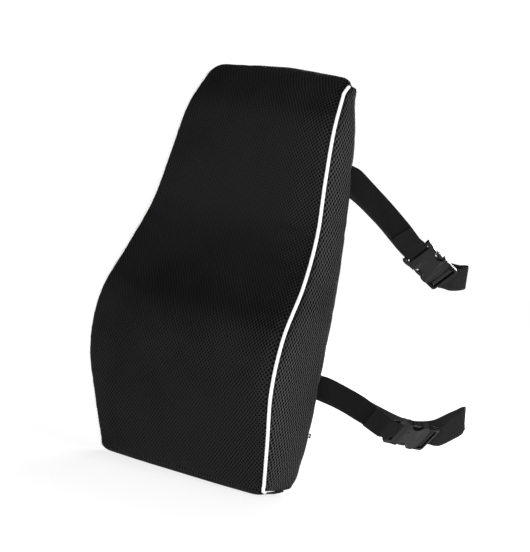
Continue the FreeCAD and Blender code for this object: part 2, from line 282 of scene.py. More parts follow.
@dataclass(frozen=True)
class TwillTape:
    """Fine woven cloth with a diagonal rib, as on the piping and the zipper's tape."""

    name: str
    thread: Colour
    groove: Colour
    pitch: float
    gloss: float
    sheen: float = 0.01
    specular: float = 0.08

    def material(self) -> bpy.types.Material:
        """The finish as a material."""
        g = Nodes(self.name)
        across, along = g.cloth()
        rib = g.wave(g.math("ADD", across, along), self.pitch)
        cross = g.wave(g.math("SUBTRACT", along, g.math("MULTIPLY", across, 0.5)), self.pitch * 0.6)
        weave = g.ramp(g.math("ADD", rib, g.math("MULTIPLY", cross, 0.5)), -1.1, 0.9)
        stain = g.ramp(g.noise(30.0, 4.0, 0.65), 0.35, 0.8, 1.0, 0.86)
        g.set(Base_Color=g.mix(g.math("MULTIPLY", weave, stain), self.groove, self.thread))
        g.set(Roughness=g.ramp(weave, 0.0, 1.0, 0.8, 1.0 - self.gloss))
        g.set(Sheen_Weight=self.sheen, Sheen_Roughness=0.4, Specular_IOR_Level=self.specular)
        g.set(Normal=g.bump(weave, self.pitch * 0.12, g.bump(g.noise(220.0, 2.0), 0.0002)))
        return g.material


@dataclass(frozen=True)
class Webbing:
    """Flat woven strap: ribs across it, with a herringbone that turns in the middle."""

    name: str
    thread: Colour
    groove: Colour
    rib: float = 0.0014              # from one rib to the next
    half_width: float = 0.015

    def material(self) -> bpy.types.Material:
        """The finish as a material."""
        g = Nodes(self.name)
        across, along = g.cloth()
        off_middle = g.math("ABSOLUTE", g.math("SUBTRACT", across, self.half_width))
        slant = g.math("MULTIPLY", off_middle, 0.55)
        rib = g.wave(g.math("ADD", along, slant), self.rib)
        yarn = g.wave(across, self.rib * 0.75)
        weave = g.ramp(g.math("ADD", rib, g.math("MULTIPLY", yarn, 0.6)), -1.3, 1.2)
        edge = g.ramp(off_middle, self.half_width * 0.86, self.half_width * 0.99, 0.0, 0.5)
        fuzz = g.ramp(g.noise(500.0, 3.0), 0.3, 0.8, 0.8, 1.25)
        shade = g.math("MULTIPLY", g.math("ADD", weave, edge), fuzz)
        g.set(Base_Color=g.mix(shade, self.groove, self.thread))
        g.set(Roughness=g.ramp(weave, 0.0, 1.0, 0.85, 0.55))
        g.set(Sheen_Weight=0.003, Sheen_Roughness=0.35, Specular_IOR_Level=0.05)
        g.set(Normal=g.bump(weave, 0.00032, g.bump(g.noise(60.0, 2.0), 0.0006)))
        return g.material


@dataclass(frozen=True)
class Moulded:
    """Moulded plastic or cast metal: fine grain, paler worn edges, a few rubbed patches."""

    name: str
    body: Colour
    worn: Colour
    roughness: tuple[float, float]   # outside the rubbed patches and in them
    grain: float                     # grains per metre
    metal: float = 0.0
    specular: float = 0.5

    def material(self) -> bpy.types.Material:
        """The finish as a material."""
        g = Nodes(self.name)
        shape = g.tree.nodes.new("ShaderNodeNewGeometry")
        edge = g.ramp(shape.outputs["Pointiness"], 0.52, 0.62, 0.0, 0.7)
        patch = g.ramp(g.noise(90.0, 5.0, 0.7), 0.45, 0.75)
        g.set(Base_Color=g.mix(g.math("MULTIPLY", edge, g.math("ADD", patch, 0.35)), self.body, self.worn))
        g.set(Roughness=g.ramp(patch, 0.0, 1.0, *self.roughness))
        g.set(Metallic=self.metal, Specular_IOR_Level=self.specular)
        g.set(Normal=g.bump(g.noise(self.grain, 2.0), 0.00006, g.bump(g.noise(150.0, 2.0), 0.00015)))
        return g.material


@dataclass(frozen=True)
class Cellular:
    """Open-cell foam or a soft nonwoven: fine pores and slow changes of shade."""

    name: str
    body: Colour
    pore: Colour
    cells: float                     # cells per metre

    def material(self) -> bpy.types.Material:
        """The finish as a material."""
        g = Nodes(self.name)
        place = g.tree.nodes.new("ShaderNodeTexCoord")
        cell = g.tree.nodes.new("ShaderNodeTexVoronoi")
        g.put(cell.inputs["Vector"], place.outputs["Object"])
        g.put(cell.inputs["Scale"], self.cells)
        wall = g.ramp(cell.outputs["Distance"], 0.05, 0.6)
        tone = g.ramp(g.noise(14.0, 3.0), 0.3, 0.7, 0.8, 1.0)
        g.set(Base_Color=g.mix(g.math("MULTIPLY", wall, tone), self.pore, self.body))
        g.set(Roughness=0.95, Sheen_Weight=0.1, Normal=g.bump(wall, 0.0004))
        return g.material


class Finish(Enum):
    """Every finish on the cushion, made once each."""

    FRONT_MESH = SpacerMesh("spacer_mesh_front", grey(0.012), grey(0.0004), (0.0042, 0.0056),
                            open_from=0.1, relief=0.0006, sheen=0.002, knot=1.1)
    SIDE_MESH = SpacerMesh("spacer_mesh_side", grey(0.042), grey(0.0008), (0.0053, 0.0070),
                           open_from=-0.1, relief=0.0010, sheen=0.003, knot=0.3)
    BACK_MESH = SpacerMesh("spacer_mesh_rear", grey(0.036), grey(0.0008), (0.0053, 0.0070),
                           open_from=-0.05, relief=0.0009, sheen=0.003, knot=0.3)
    PIPING = TwillTape("piping_twill", (0.88, 0.88, 0.86, 1.0), (0.60, 0.60, 0.58, 1.0),
                       pitch=0.0009, gloss=0.45, sheen=0.2, specular=0.4)
    ZIP_TAPE = TwillTape("zip_tape_weave", grey(0.016), grey(0.004), pitch=0.0008, gloss=0.3)
    THREAD = TwillTape("sewing_thread", grey(0.016), grey(0.005), pitch=0.0004, gloss=0.3)
    WEBBING = Webbing("webbing_weave", grey(0.0095), grey(0.0006))
    # The long webbing: the same weave painted paler, as painted light on it.
    LONG_WEBBING = Webbing("webbing_weave_long", grey(0.024), grey(0.0016))
    BUCKLE = Moulded("buckle_plastic", grey(0.004), grey(0.03), (0.16, 0.26), grain=5200.0, specular=0.26)
    # The plug's frame: the buckle's own plastic painted darker and given less specular, as painted shade.
    BUCKLE_FRAME = Moulded("buckle_frame_plastic", grey(0.0015), grey(0.02), (0.22, 0.34),
                           grain=5200.0, specular=0.12)
    TEETH = Moulded("zip_teeth_plastic", grey(0.022), grey(0.08), (0.35, 0.5), grain=4000.0)
    METAL = Moulded("zip_metal", (0.42, 0.42, 0.41, 1.0), (0.62, 0.62, 0.61, 1.0), (0.35, 0.55),
                    grain=6000.0, metal=1.0)
    FOAM = Cellular("foam_cells", (0.72, 0.66, 0.50, 1.0), (0.35, 0.30, 0.20, 1.0), cells=900.0)
    LINER = Cellular("liner_nonwoven", (0.80, 0.80, 0.78, 1.0), (0.55, 0.55, 0.54, 1.0), cells=1400.0)

    @property
    def material(self) -> bpy.types.Material:
        """The material, made when it is first asked for."""
        made = bpy.data.materials.get(self.value.name)
        return made or self.value.material()


# ---- mesh work ----

def make_mesh(name: str, points: Sequence, faces: Sequence, finish: Finish,
              uvs: Sequence | None = None) -> bpy.types.Object:
    """A smooth mesh object in the row's frame.

    Args:
        name: The piece's name.
        points: Its vertices.
        faces: Vertex numbers of each face.
        finish: What it is made of.
        uvs: A pair for each corner of each face, in order, in metres.

    Returns:
        The object, linked to the scene.
    """
    mesh = bpy.data.meshes.new(name)
    mesh.from_pydata([tuple(map(float, p)) for p in points], [], [tuple(map(int, f)) for f in faces])
    if uvs is not None:
        layer = mesh.uv_layers.new(name=UV_LAYER)
        layer.uv.foreach_set("vector", np.asarray(uvs, np.float32).ravel())
    mesh.polygons.foreach_set("use_smooth", [True] * len(mesh.polygons))
    mesh.materials.append(finish.material)
    piece = bpy.data.objects.new(name, mesh)
    bpy.context.scene.collection.objects.link(piece)
    return piece


def bake_modifiers(piece: bpy.types.Object) -> None:
    """Put the result of the piece's modifiers in its mesh."""
    graph = bpy.context.evaluated_depsgraph_get()
    made = bpy.data.meshes.new_from_object(piece.evaluated_get(graph), depsgraph=graph)
    piece.modifiers.clear()
    piece.data = made


def round_edges(piece: bpy.types.Object, width: float, segments: int = 2) -> None:
    """Round the piece's sharp edges, in place, and shade it smooth between them."""
    bevel = piece.modifiers.new("rounded", "BEVEL")
    bevel.width = width
    bevel.segments = segments
    bevel.limit_method = "ANGLE"
    bevel.angle_limit = math.radians(32)
    bevel.harden_normals = True


def catmull(points: np.ndarray, steps: int) -> np.ndarray:
    """A smooth line through the points.

    Args:
        points: One row per point, of any width.
        steps: New points per span.

    Returns:
        The line's points, one row each.
    """
    points = np.asarray(points, float)
    ends = np.vstack([2 * points[0] - points[1], points, 2 * points[-1] - points[-2]])
    out = []
    for i in range(1, len(ends) - 2):
        p0, p1, p2, p3 = ends[i - 1:i + 3]
        for s in np.arange(steps) / steps:
            out.append(0.5 * (2 * p1 + (p2 - p0) * s + (2 * p0 - 5 * p1 + 4 * p2 - p3) * s ** 2
                              + (3 * p1 - p0 - 3 * p2 + p3) * s ** 3))
    out.append(points[-1])
    return np.array(out)


def round_corners(points: Sequence[Sequence[float]], reach: float, steps: int = 5) -> np.ndarray:
    """A path of straight runs with each corner turned into a small curve.

    Args:
        points: The path's corners.
        reach: How far from each corner its curve starts.
        steps: Points along each curve.

    Returns:
        The rounded path.
    """
    points = np.asarray(points, float)
    out = [points[0]]
    for a, b, c in zip(points, points[1:], points[2:]):
        before, after = np.linalg.norm(a - b), np.linalg.norm(c - b)
        start = b + (a - b) / before * min(reach, before / 2)
        end = b + (c - b) / after * min(reach, after / 2)
        for s in np.linspace(0, 1, steps):
            out.append(start * (1 - s) ** 2 + 2 * b * s * (1 - s) + end * s ** 2)
    out.append(points[-1])
    return np.array(out)


def lengths(points: np.ndarray) -> np.ndarray:
    """How far along the line each point is."""
    return np.concatenate([[0.0], np.cumsum(np.linalg.norm(np.diff(points, axis=0), axis=1))])


def resample(points: np.ndarray, count: int) -> np.ndarray:
    """The line as count evenly spaced points."""
    at = lengths(points)
    wanted = np.linspace(0, at[-1], count)
    return np.stack([np.interp(wanted, at, points[:, k]) for k in range(points.shape[1])], 1)


def unit(v: np.ndarray) -> np.ndarray:
    """The vector, or each row of vectors, at length 1."""
    return v / np.maximum(np.linalg.norm(v, axis=-1, keepdims=True), 1e-12)


def sweep(name: str, centres: np.ndarray, across: np.ndarray, outline: np.ndarray, finish: Finish,
          scale: np.ndarray | None = None) -> bpy.types.Object:
    """A closed solid made by carrying an outline along a line.

    Args:
        name: The piece's name.
        centres: The line.
        across: At each point, the direction that the outline's first axis takes.
        outline: The outline's points, anticlockwise, seen with the line coming at the eye.
        finish: What it is made of.
        scale: How large the outline is at each point, or None for 1 all along.

    Returns:
        The object.
    """
    tangents = unit(np.gradient(centres, axis=0))
    wide = unit(across - tangents * np.sum(across * tangents, 1, keepdims=True))
    high = np.cross(tangents, wide)
    size = np.ones(len(centres)) if scale is None else scale
    points = []
    for c, w, h, k in zip(centres, wide, high, size):
        points.extend(c + k * (w * p + h * q) for p, q in outline)
    n = len(outline)
    along = lengths(centres)
    around = lengths(np.vstack([outline, outline[:1]]))
    faces, uvs = [], []
    for i in range(len(centres) - 1):
        for k in range(n):
            j = (k + 1) % n
            faces.append((i * n + k, i * n + j, (i + 1) * n + j, (i + 1) * n + k))
            uvs += [(around[k], along[i]), (around[k + 1], along[i]),
                    (around[k + 1], along[i + 1]), (around[k], along[i + 1])]
    last = (len(centres) - 1) * n
    for ring in (list(range(n))[::-1], [last + k for k in range(n)]):
        faces.append(ring)
        uvs += [tuple(outline[k % n]) for k in ring]
    return make_mesh(name, points, faces, finish, uvs)


def circle(radius: float, count: int) -> np.ndarray:
    """A round outline."""
    turn = np.arange(count) / count * 2 * math.pi
    return np.stack([np.cos(turn), np.sin(turn)], 1) * radius


def band_outline(width: float, thick: float) -> np.ndarray:
    """The section of a strap: flat, with rounded edges a little fuller than its middle."""
    half, rim = width / 2, thick / 2
    selvedge = half - 1.6 * MM
    end = [(half - rim + rim * math.cos(a), rim * 1.06 * math.sin(a))
           for a in np.radians([-60, -20, 20, 60])]
    top = [(selvedge, rim * 1.05), (half * 0.5, rim * 0.97), (0.0, rim), (-half * 0.5, rim * 0.97),
           (-selvedge, rim * 1.05)]
    right = end + top
    left = [(-x, -y) for x, y in right]
    return np.array(right + left)


# A stitch's rings of vertices: how high each one's middle lies and how wide it is, in thread radii
STITCH_RINGS = ((-0.6, 0.5), (0.5, 1.0), (0.9, 1.05), (0.9, 1.05), (0.5, 1.0), (-0.6, 0.5))


def stitch(points: np.ndarray, normals: np.ndarray, pitch: float = 2.6 * MM,
           radius: float = 0.32 * MM) -> tuple[list, list]:
    """A row of stitches, each a short bowed piece of thread.

    Args:
        points: The seam's line.
        normals: The cloth's outward direction at each point.
        pitch: From one stitch to the next.
        radius: Half the thread's thickness.

    Returns:
        Vertices and faces.
    """
    rings, sides = len(STITCH_RINGS), 6
    count = max(2, int(lengths(points)[-1] / pitch))
    line = resample(np.hstack([points, normals]), count * rings + 1)
    verts, faces = [], []
    for k in range(count):
        span = line[k * rings:(k + 1) * rings]
        ahead = unit(span[-1, :3] - span[0, :3])
        out = unit(span[2, 3:])
        beside = np.cross(ahead, out)
        base = len(verts)
        for place, (lift, fat) in zip(span[:, :3], STITCH_RINGS):
            for a in np.arange(sides) * 2 * math.pi / sides:
                up, aside = lift + fat * math.sin(a), fat * math.cos(a)
                verts.append(place + out * radius * up + beside * radius * aside)
        for low in range(base, base + (rings - 1) * sides, sides):
            for turn in range(sides):
                other = (turn + 1) % sides
                faces.append((low + turn, low + other, low + sides + other, low + sides + turn))
        last = base + (rings - 1) * sides
        faces.append([base + t for t in range(sides)][::-1])
        faces.append([last + t for t in range(sides)])
    return verts, faces


def stitches(name: str, rows: Iterable[tuple[np.ndarray, np.ndarray]]) -> bpy.types.Object:
    """Rows of stitches as one piece of sewing.

    Args:
        name: The piece's name.
        rows: Each row's line and outward directions.

    Returns:
        The object.
    """
    verts, faces = [], []
    for points, normals in rows:
        more, sides = stitch(points, normals)
        faces += [[i + len(verts) for i in side] for side in sides]
        verts += more
    uvs = [(k * Finish.THREAD.value.pitch, 0.0) for side in faces for k in range(len(side))]
    return make_mesh(name, verts, faces, Finish.THREAD, uvs)


# ---- the cushion ----

@dataclass
class Patch:
    """A grid of vertices on the cover, with its place on the cloth."""

    ids: np.ndarray          # rows by columns, numbers of the shell's vertices
    cloth: np.ndarray        # rows by columns by 2, metres

    def faces(self) -> tuple[list, list]:
        """The grid's faces and their corners' places on the cloth, without those of no width."""
        faces, uvs = [], []
        rows, columns = self.ids.shape
        for i in range(rows - 1):
            for k in range(columns - 1):
                corners = [(i, k), (i, k + 1), (i + 1, k + 1), (i + 1, k)]
                kept = []
                for at in corners:
                    if all(self.ids[at] != self.ids[other] for other in kept):
                        kept.append(at)
                if len(kept) > 2:
                    faces.append([self.ids[at] for at in kept])
                    uvs += [self.cloth[at] for at in kept]
        return faces, uvs


@dataclass
class Cushion:
    """Foam core, liner and the sewn cover, with its zipper."""

    heel: float = 0.026              # how far in front of the back the base starts
    crest: float = 0.020             # how far in front of the back the top starts
    corner: float = 0.006            # rounding between base and front
    brow: tuple[float, float] = (0.036, 0.014)   # where the front turns over the top, and its rounding
    seam_top: float = 0.4965         # the seams' highest line, above their lowest one
    rear_round: float = 0.021        # rounding between the sides and the back
    tuck: float = 0.009              # how much narrower the front panel is at its ends
    tuck_reach: float = 0.022        # over this much of its length
    back_fade: float = 0.012         # the back's fullness dies away over this much of its ends
    back_blend: float = 0.04         # and its width takes over from the front's
    side_crown: float = 0.006        # how far the sides stand out beyond their seams
    side_fade: float = 0.05          # and flatten out towards the back
    roll: float = 0.014              # width of the rolled edge beside the seams
    settled: float = 0.009           # how far the padding has sunk at the top left corner
    cloth_thick: float = 0.0026
    grid: float = 0.0052             # size of the cover's faces
    piping_radius: float = 0.0021
    swell: float = 0.004             # most that the simulated cover may move
    # Front seam as (height above its lowest line, depth in front of the back, half width there,
    # half width at the rear, how far the front stands out beyond its seams)
    seam: tuple = ((0.0, 0.084, 0.123, 0.120, 0.0085), (0.062, 0.109, 0.130, 0.126, 0.011),
                   (0.125, 0.131, 0.135, 0.128, 0.014), (0.188, 0.129, 0.136, 0.1275, 0.014),
                   (0.250, 0.100, 0.1315, 0.1255, 0.012), (0.312, 0.078, 0.123, 0.1215, 0.009),
                   (0.375, 0.071, 0.115, 0.116, 0.010), (0.437, 0.063, 0.108, 0.108, 0.014),
                   (0.485, 0.046, 0.101, 0.096, 0.011))
    points: np.ndarray = field(init=False)
    patches: dict[str, Patch] = field(init=False)
    seam_out: np.ndarray = field(init=False)     # the front's outward direction at each row, y and z

    def along_seam(self, z: np.ndarray, column: int) -> np.ndarray:
        """One column of the seam's table at each height."""
        table = catmull(np.array(self.seam), 8)
        return np.interp(z, table[:, 0] + LIFT, table[:, column])

    def front_line(self) -> np.ndarray:
        """The front seam seen from the side: under the base, up the front and over the top.

        Returns:
            One row per point: y and z.
        """
        rise = catmull(np.array([(BACK - row[1], row[0] + LIFT) for row in self.seam]), 16)
        rise = rise[rise[:, 1] > LIFT + self.corner]
        toe, toe_lead = BACK - self.seam[0][1], 2 * MM
        base = np.array([(y, LIFT) for y in np.linspace(BACK - self.heel, toe + self.corner, 24)])
        bend = round_corners([base[-1], (toe - toe_lead, LIFT), rise[0]], self.corner, 7)[1:-1]
        top = LIFT + self.seam_top
        turn_at, rounding = self.brow
        brow = round_corners([rise[-1], (BACK - turn_at, top), (BACK - self.crest, top)], rounding, 9)[1:]
        return np.vstack([base, bend, rise, brow])

    def back_line(self) -> np.ndarray:
        """The back seen from the side, from the base's rear edge to the top's.

        Returns:
            One row per point: y and z.
        """
        low, top = LIFT, LIFT + self.seam_top
        heel = [(BACK - self.heel * (1 - math.sin(a)), low + self.heel * (1 - math.cos(a)))
                for a in np.linspace(0, math.pi / 2, 9)]
        crest = [(BACK - self.crest * (1 - math.cos(a)), top - self.crest * (1 - math.sin(a)))
                 for a in np.linspace(0, math.pi / 2, 8)]
        return np.array(heel + crest)

    def rows(self) -> tuple[np.ndarray, np.ndarray]:
        """Matching points up the front seam and up the back, close together at the corner.

        Returns:
            The front's points and the back's, y and z.
        """
        front = self.front_line()
        at = lengths(front)
        count = int(at[-1] / self.grid)
        wanted = np.linspace(0, at[-1], count)
        toe = at[np.argmin(front[:, 0] + front[:, 1])]
        extra = toe + np.linspace(-1.0, 1.0, 5) * self.corner * 0.8
        clear = wanted[(wanted < extra[0] - MM) | (wanted > extra[-1] + MM)]
        wanted = np.sort(np.concatenate([clear, extra]))
        back = self.back_line()
        back_at = lengths(back)
        share = wanted / at[-1] * back_at[-1]
        pick = [np.stack([np.interp(w, a, line[:, k]) for k in (0, 1)], 1)
                for w, a, line in ((wanted, at, front), (share, back_at, back))]
        return pick[0], pick[1]

    def roll_off(self, distance: np.ndarray) -> np.ndarray:
        """How far the padding has risen at this distance from a seam: a quarter round, then flat."""
        s = np.clip(distance / self.roll, 0, 1)
        return np.sqrt(1 - (1 - s) ** 2)

    def pucker(self, distance: np.ndarray, along: np.ndarray) -> np.ndarray:
        """Small uneven gathers, about 15 mm long, that fade away from a seam."""
        depth, fade, start = 0.5 * MM, 14 * MM, 4 * MM
        gather = np.sin(along * 430 + 1.7 * np.sin(along * 61)) + 0.6 * np.sin(along * 271 + 2.1)
        return depth * np.exp(-distance / fade) * gather * np.clip(distance / start, 0, 1)

    def build_shell(self) -> None:
        """Lay out the cover's surface as grids that share their edge vertices."""
        front, back = self.rows()
        at, up_back = lengths(front), lengths(back)
        out_front = unit(np.stack([-np.gradient(front[:, 1]), np.gradient(front[:, 0])], 1))
        out_back = unit(np.stack([np.gradient(back[:, 1]), -np.gradient(back[:, 0])], 1))
        out_back[0], out_front[0] = (0, -1), (0, -1)
        out_back[-1], out_front[-1] = (0, 1), (0, 1)
        from_end = np.where(at / at[-1] < 0.5, up_back, up_back[-1] - up_back)
        crown = self.along_seam(front[:, 1], 4)
        back_crown = crown * np.exp(-from_end / self.back_fade)
        half = self.along_seam(front[:, 1], 2)
        tuck = np.clip(1 - np.minimum(at, at[-1] - at) / self.tuck_reach, 0, 1)
        half = half - self.tuck * (1 - np.sqrt(1 - tuck ** 2))
        blend = np.clip(from_end / self.back_blend, 0, 1)
        half_back = self.along_seam(back[:, 1], 3) * blend + half * (1 - blend)
        turn = np.minimum(self.rear_round, 0.45 * np.linalg.norm(front - back, axis=1))
        columns = int(2 * half.max() / self.grid)
        a = np.linspace(-1, 1, columns + 1)
        across = a * (1.36 - 0.36 * a * a)        # closer columns beside the seams
        grids: list[tuple[str, np.ndarray, np.ndarray]] = []
        grids.append(("front", *self.wrap(front, half, out_front, crown, across, at, True)))
        flat = half_back - turn
        grids.append(("back", *self.wrap(back, flat, out_back, back_crown, across[::-1], up_back, False)))
        for side in Side:
            name = "side_" + side.name.lower()
            grids.append((name, *self.gusset(side, front, back, half, half_back, turn)))
        self.sew(grids)
        self.seam_out = out_front
        log.info("cover laid out: %d rows, %d vertices", len(front), len(self.points))

    def sew(self, grids: Sequence[tuple[str, np.ndarray, np.ndarray]]) -> None:
        """Give the grids common vertices where they meet, and keep them as patches.

        Args:
            grids: Each one's name, points and places on the cloth.
        """
        stacked = np.vstack([points.reshape(-1, 3) for _, points, _ in grids])
        _, first, inverse = np.unique(np.round(stacked, 5), axis=0, return_index=True, return_inverse=True)
        self.points = stacked[first]
        self.points[:, 2] -= self.slump(self.points)
        self.patches = {}
        start = 0
        for name, grid, cloth in grids:
            size = grid.shape[0] * grid.shape[1]
            ids = inverse.ravel()[start:start + size].reshape(grid.shape[:2])
            self.patches[name] = Patch(ids, cloth)
            start += size

    def wrap(self, line: np.ndarray, half: np.ndarray, out: np.ndarray, crown: np.ndarray,
             across: np.ndarray, at: np.ndarray, gathered: bool) -> tuple[np.ndarray, np.ndarray]:
        """A panel that runs from side to side along a line in the side view.

        Args:
            line: The line's points, y and z.
            half: The panel's half width at each.
            out: The panel's outward direction at each, y and z.
            crown: How far its middle stands out at each.
            across: Where its columns are, from -1 to 1.
            at: How far along the line each point is.
            gathered: Whether it puckers along its edges.

        Returns:
            The grid's points and their places on the cloth.
        """
        x = half[:, None] * across[None, :]
        along = at[:, None] * np.ones_like(x)
        distance = half[:, None] - np.abs(x)
        rise = 0.8 * self.roll_off(distance) + 0.2 * (1 - across[None, :] ** 2)
        lift = crown[:, None] * rise
        if gathered:
            lift = lift + self.pucker(distance, along + 0.3 * np.sign(x))
        y = line[:, :1] + out[:, :1] * lift
        z = line[:, 1:] + out[:, 1:] * lift
        grid = np.stack([x, y, np.maximum(z, 0.0)], 2)
        return grid, np.stack([x, along], 2)

    def gusset(self, side: Side, front: np.ndarray, back: np.ndarray, half: np.ndarray,
               half_back: np.ndarray, turn: np.ndarray) -> tuple[np.ndarray, np.ndarray]:
        """One side panel, from the piped seam back and round the rear corner.

        Args:
            side: Which side.
            front: Front seam, y and z.
            back: Back line, y and z.
            half: Half width at the front seam.
            half_back: Half width at the back line.
            turn: The rear corner's radius at each row.

        Returns:
            The grid's points and their places on the cloth.
        """
        flat_count, turn_count, seam_count = 24, 6, 260
        depth = np.maximum(np.linalg.norm(back - front, axis=1), 1e-6)
        reach = np.maximum(depth - turn, 0)
        q = np.linspace(0, 1, flat_count + 1)
        q = q * (0.35 + 0.65 * q)                 # closer columns beside the piping
        angle = np.linspace(0, math.pi / 2, turn_count + 1)[1:]
        sail = []
        for i in range(len(front)):
            s = np.concatenate([reach[i] * q, reach[i] + turn[i] * np.sin(angle)])
            inward = np.concatenate([np.zeros(len(q)), turn[i] * (1 - np.cos(angle))])
            place = front[i] + np.outer(s / depth[i], back[i] - front[i])
            width = half[i] + (half_back[i] - half[i]) * s / depth[i]
            sail.append(np.stack([width - inward, place[:, 0], place[:, 1]], 1))
        grid = np.array(sail)
        seam = resample(front, seam_count)
        gap = np.linalg.norm(grid[:, :, None, 1:] - seam[None, None], axis=3)
        along = gap.argmin(2) * lengths(seam)[-1] / seam_count
        rear = np.clip(np.linalg.norm(grid[:, :, 1:] - back[:, None], axis=2) / self.side_fade, 0, 1)
        lift = self.side_crown * self.roll_off(gap.min(2)) * (0.25 + 0.75 * rear ** 0.8)
        lift += self.pucker(gap.min(2), along + 0.11)
        lift[:, 0] = 0
        lift[:, -turn_count:] *= np.linspace(1, 0, turn_count + 1)[1:]
        grid[:, :, 0] += lift
        grid[:, :, 2] = np.maximum(grid[:, :, 2], 0.0)
        cloth = grid[:, :, 1:].copy()
        cloth[:, -turn_count:, 0] += grid[:, -turn_count - 1:-turn_count, 0] - grid[:, -turn_count:, 0]
        grid[:, :, 0] *= side.value
        if side is Side.LEFT:
            return grid[:, ::-1], cloth[:, ::-1]
        return grid, cloth

    def seam_gap(self) -> np.ndarray:
        """How far each vertex is from the nearer piped seam."""
        seams = np.vstack([self.points[self.patches["front"].ids[:, k]] for k in (0, -1)])
        return np.array([np.sqrt(((seams - p) ** 2).sum(1).min()) for p in self.points])

    def slump(self, points: np.ndarray) -> np.ndarray:
        """How far the padding has sunk at each point, at the top left corner."""
        start, end, corner = 0.40, 0.50, 0.11
        up = np.clip((points[:, 2] - start) / (end - start), 0, 1)
        return self.settled * up ** 2 * np.clip(-points[:, 0] / corner, 0, 1)

    def held(self) -> np.ndarray:
        """Which vertices the sewing and the flat back hold still."""
        keep = self.points[:, 2] < 0.8 * MM
        keep[self.patches["back"].ids.ravel()] = True
        front = self.patches["front"].ids
        for edge in (front[:, 0], front[:, -1], front[0], front[-1]):
            keep[edge] = True
        return keep

    def all_faces(self) -> list:
        """Every face of the closed shell."""
        return [f for patch in self.patches.values() for f in patch.faces()[0]]

    def inflate(self) -> None:
        """Let the padding push the cover out between its seams, by cloth simulation."""
        frames, still, free = 20, 0.008, 0.038    # it moves freely from 38 mm away from a piped seam
        piece = make_mesh("cover_being_filled", self.points, self.all_faces(), Finish.FRONT_MESH)
        held = piece.vertex_groups.new(name="held")
        held.add([int(i) for i in np.flatnonzero(self.held())], 1.0, "REPLACE")
        cloth = piece.modifiers.new("filling", "CLOTH")
        settings = cloth.settings
        settings.quality = 5
        settings.mass = 0.25
        settings.tension_stiffness = 12
        settings.compression_stiffness = 12
        settings.shear_stiffness = 4
        settings.bending_stiffness = 0.4
        settings.use_pressure = True
        settings.uniform_pressure_force = 4.0
        settings.shrink_min = -0.012
        settings.vertex_group_mass = "held"
        settings.effector_weights.gravity = 0
        cloth.point_cache.frame_start = 1
        cloth.point_cache.frame_end = frames
        scene = bpy.context.scene
        for step in range(1, frames + 1):
            scene.frame_set(step)
        graph = bpy.context.evaluated_depsgraph_get()
        filled = piece.evaluated_get(graph).to_mesh()
        moved = np.array([v.co for v in filled.vertices]) - self.points
        piece.evaluated_get(graph).to_mesh_clear()
        scene.frame_set(1)
        bpy.data.objects.remove(piece)
        moved *= np.clip((self.seam_gap() - still) / (free - still), 0, 1)[:, None]
        far = np.linalg.norm(moved, axis=1, keepdims=True)
        self.points = self.points + moved / np.maximum(far, 1e-9) * self.swell * np.tanh(far / self.swell)
        self.points[:, 2] = np.maximum(self.points[:, 2], 0.0)
        log.info("cover filled: moved %.1f mm at most before the cap", far.max() / MM)

    def panel(self, name: str, patch: str, finish: Finish) -> bpy.types.Object:
        """One sewn panel of the cover, subdivided once, before it is given its thickness.

        Args:
            name: The piece's name.
            patch: The name of the patch that it is cut from.
            finish: Its fabric.

        Returns:
            The object.
        """
        faces, uvs = self.patches[patch].faces()
        used = sorted({int(i) for face in faces for i in face})
        number = {old: new for new, old in enumerate(used)}
        piece = make_mesh(name, self.points[used], [[number[int(i)] for i in f] for f in faces], finish, uvs)
        gap = piece.data.attributes.new(SEAM_GAP, "FLOAT", "POINT")
        gap.data.foreach_set("value", self.seam_gap()[used])
        finer = piece.modifiers.new("finer", "SUBSURF")
        finer.levels = finer.render_levels = 1
        finer.uv_smooth = "NONE"
        bake_modifiers(piece)
        return piece

    def thicken(self, piece: bpy.types.Object) -> None:
        """Give a panel the spacer mesh's thickness, inwards."""
        shell = piece.modifiers.new("thick", "SOLIDIFY")
        shell.thickness = self.cloth_thick
        shell.offset = -1
        shell.use_even_offset = False
        bake_modifiers(piece)

    def core(self, name: str, inset: float, finish: Finish) -> bpy.types.Object:
        """What the cover holds: the same closed form, smaller by inset.

        Args:
            name: The piece's name.
            inset: How far inside the cover's outer face it lies.
            finish: What it is made of.

        Returns:
            The object.
        """
        piece = make_mesh(name, self.points, self.all_faces(), finish)
        normals = np.array([v.normal for v in piece.data.vertices])
        gap, slack, at_seam, fade, edge = self.seam_gap(), 2 * MM, 3 * MM, 12 * MM, 30 * MM
        deeper = inset + at_seam * np.exp(-gap / fade)
        moved = self.points - normals * deeper[:, None]
        half = self.along_seam(np.clip(moved[:, 2], 0.0, self.seam_top), 2) - inset - slack
        moved[:, 0] = np.clip(moved[:, 0], -half, half)
        moved[:, 1] = np.minimum(moved[:, 1], BACK - inset)
        roof = LIFT + self.seam_top - inset - slack - self.slump(moved)
        moved[:, 2] = np.clip(moved[:, 2], inset + MM, np.where(gap < edge, roof, np.inf))
        piece.data.vertices.foreach_set("co", moved.astype(np.float32).ravel())
        piece.data.update()
        return piece


def keep_part(piece: bpy.types.Object, wanted: Callable[[Vector], bool],
              cuts: Sequence[tuple[Vector, Vector]]) -> None:
    """Cut a piece along planes and drop the faces that aren't wanted.

    Args:
        piece: The piece, changed in place.
        wanted: Says whether a face with this middle stays.
        cuts: Each plane's point and direction.
    """
    work = bmesh.new()
    work.from_mesh(piece.data)
    for point, direction in cuts:
        bmesh.ops.bisect_plane(work, geom=work.verts[:] + work.edges[:] + work.faces[:], dist=1e-6,
                               plane_co=point, plane_no=direction)
    gone = [f for f in work.faces if not wanted(f.calc_center_median())]
    bmesh.ops.delete(work, geom=gone, context="FACES")
    work.to_mesh(piece.data)
    work.free()


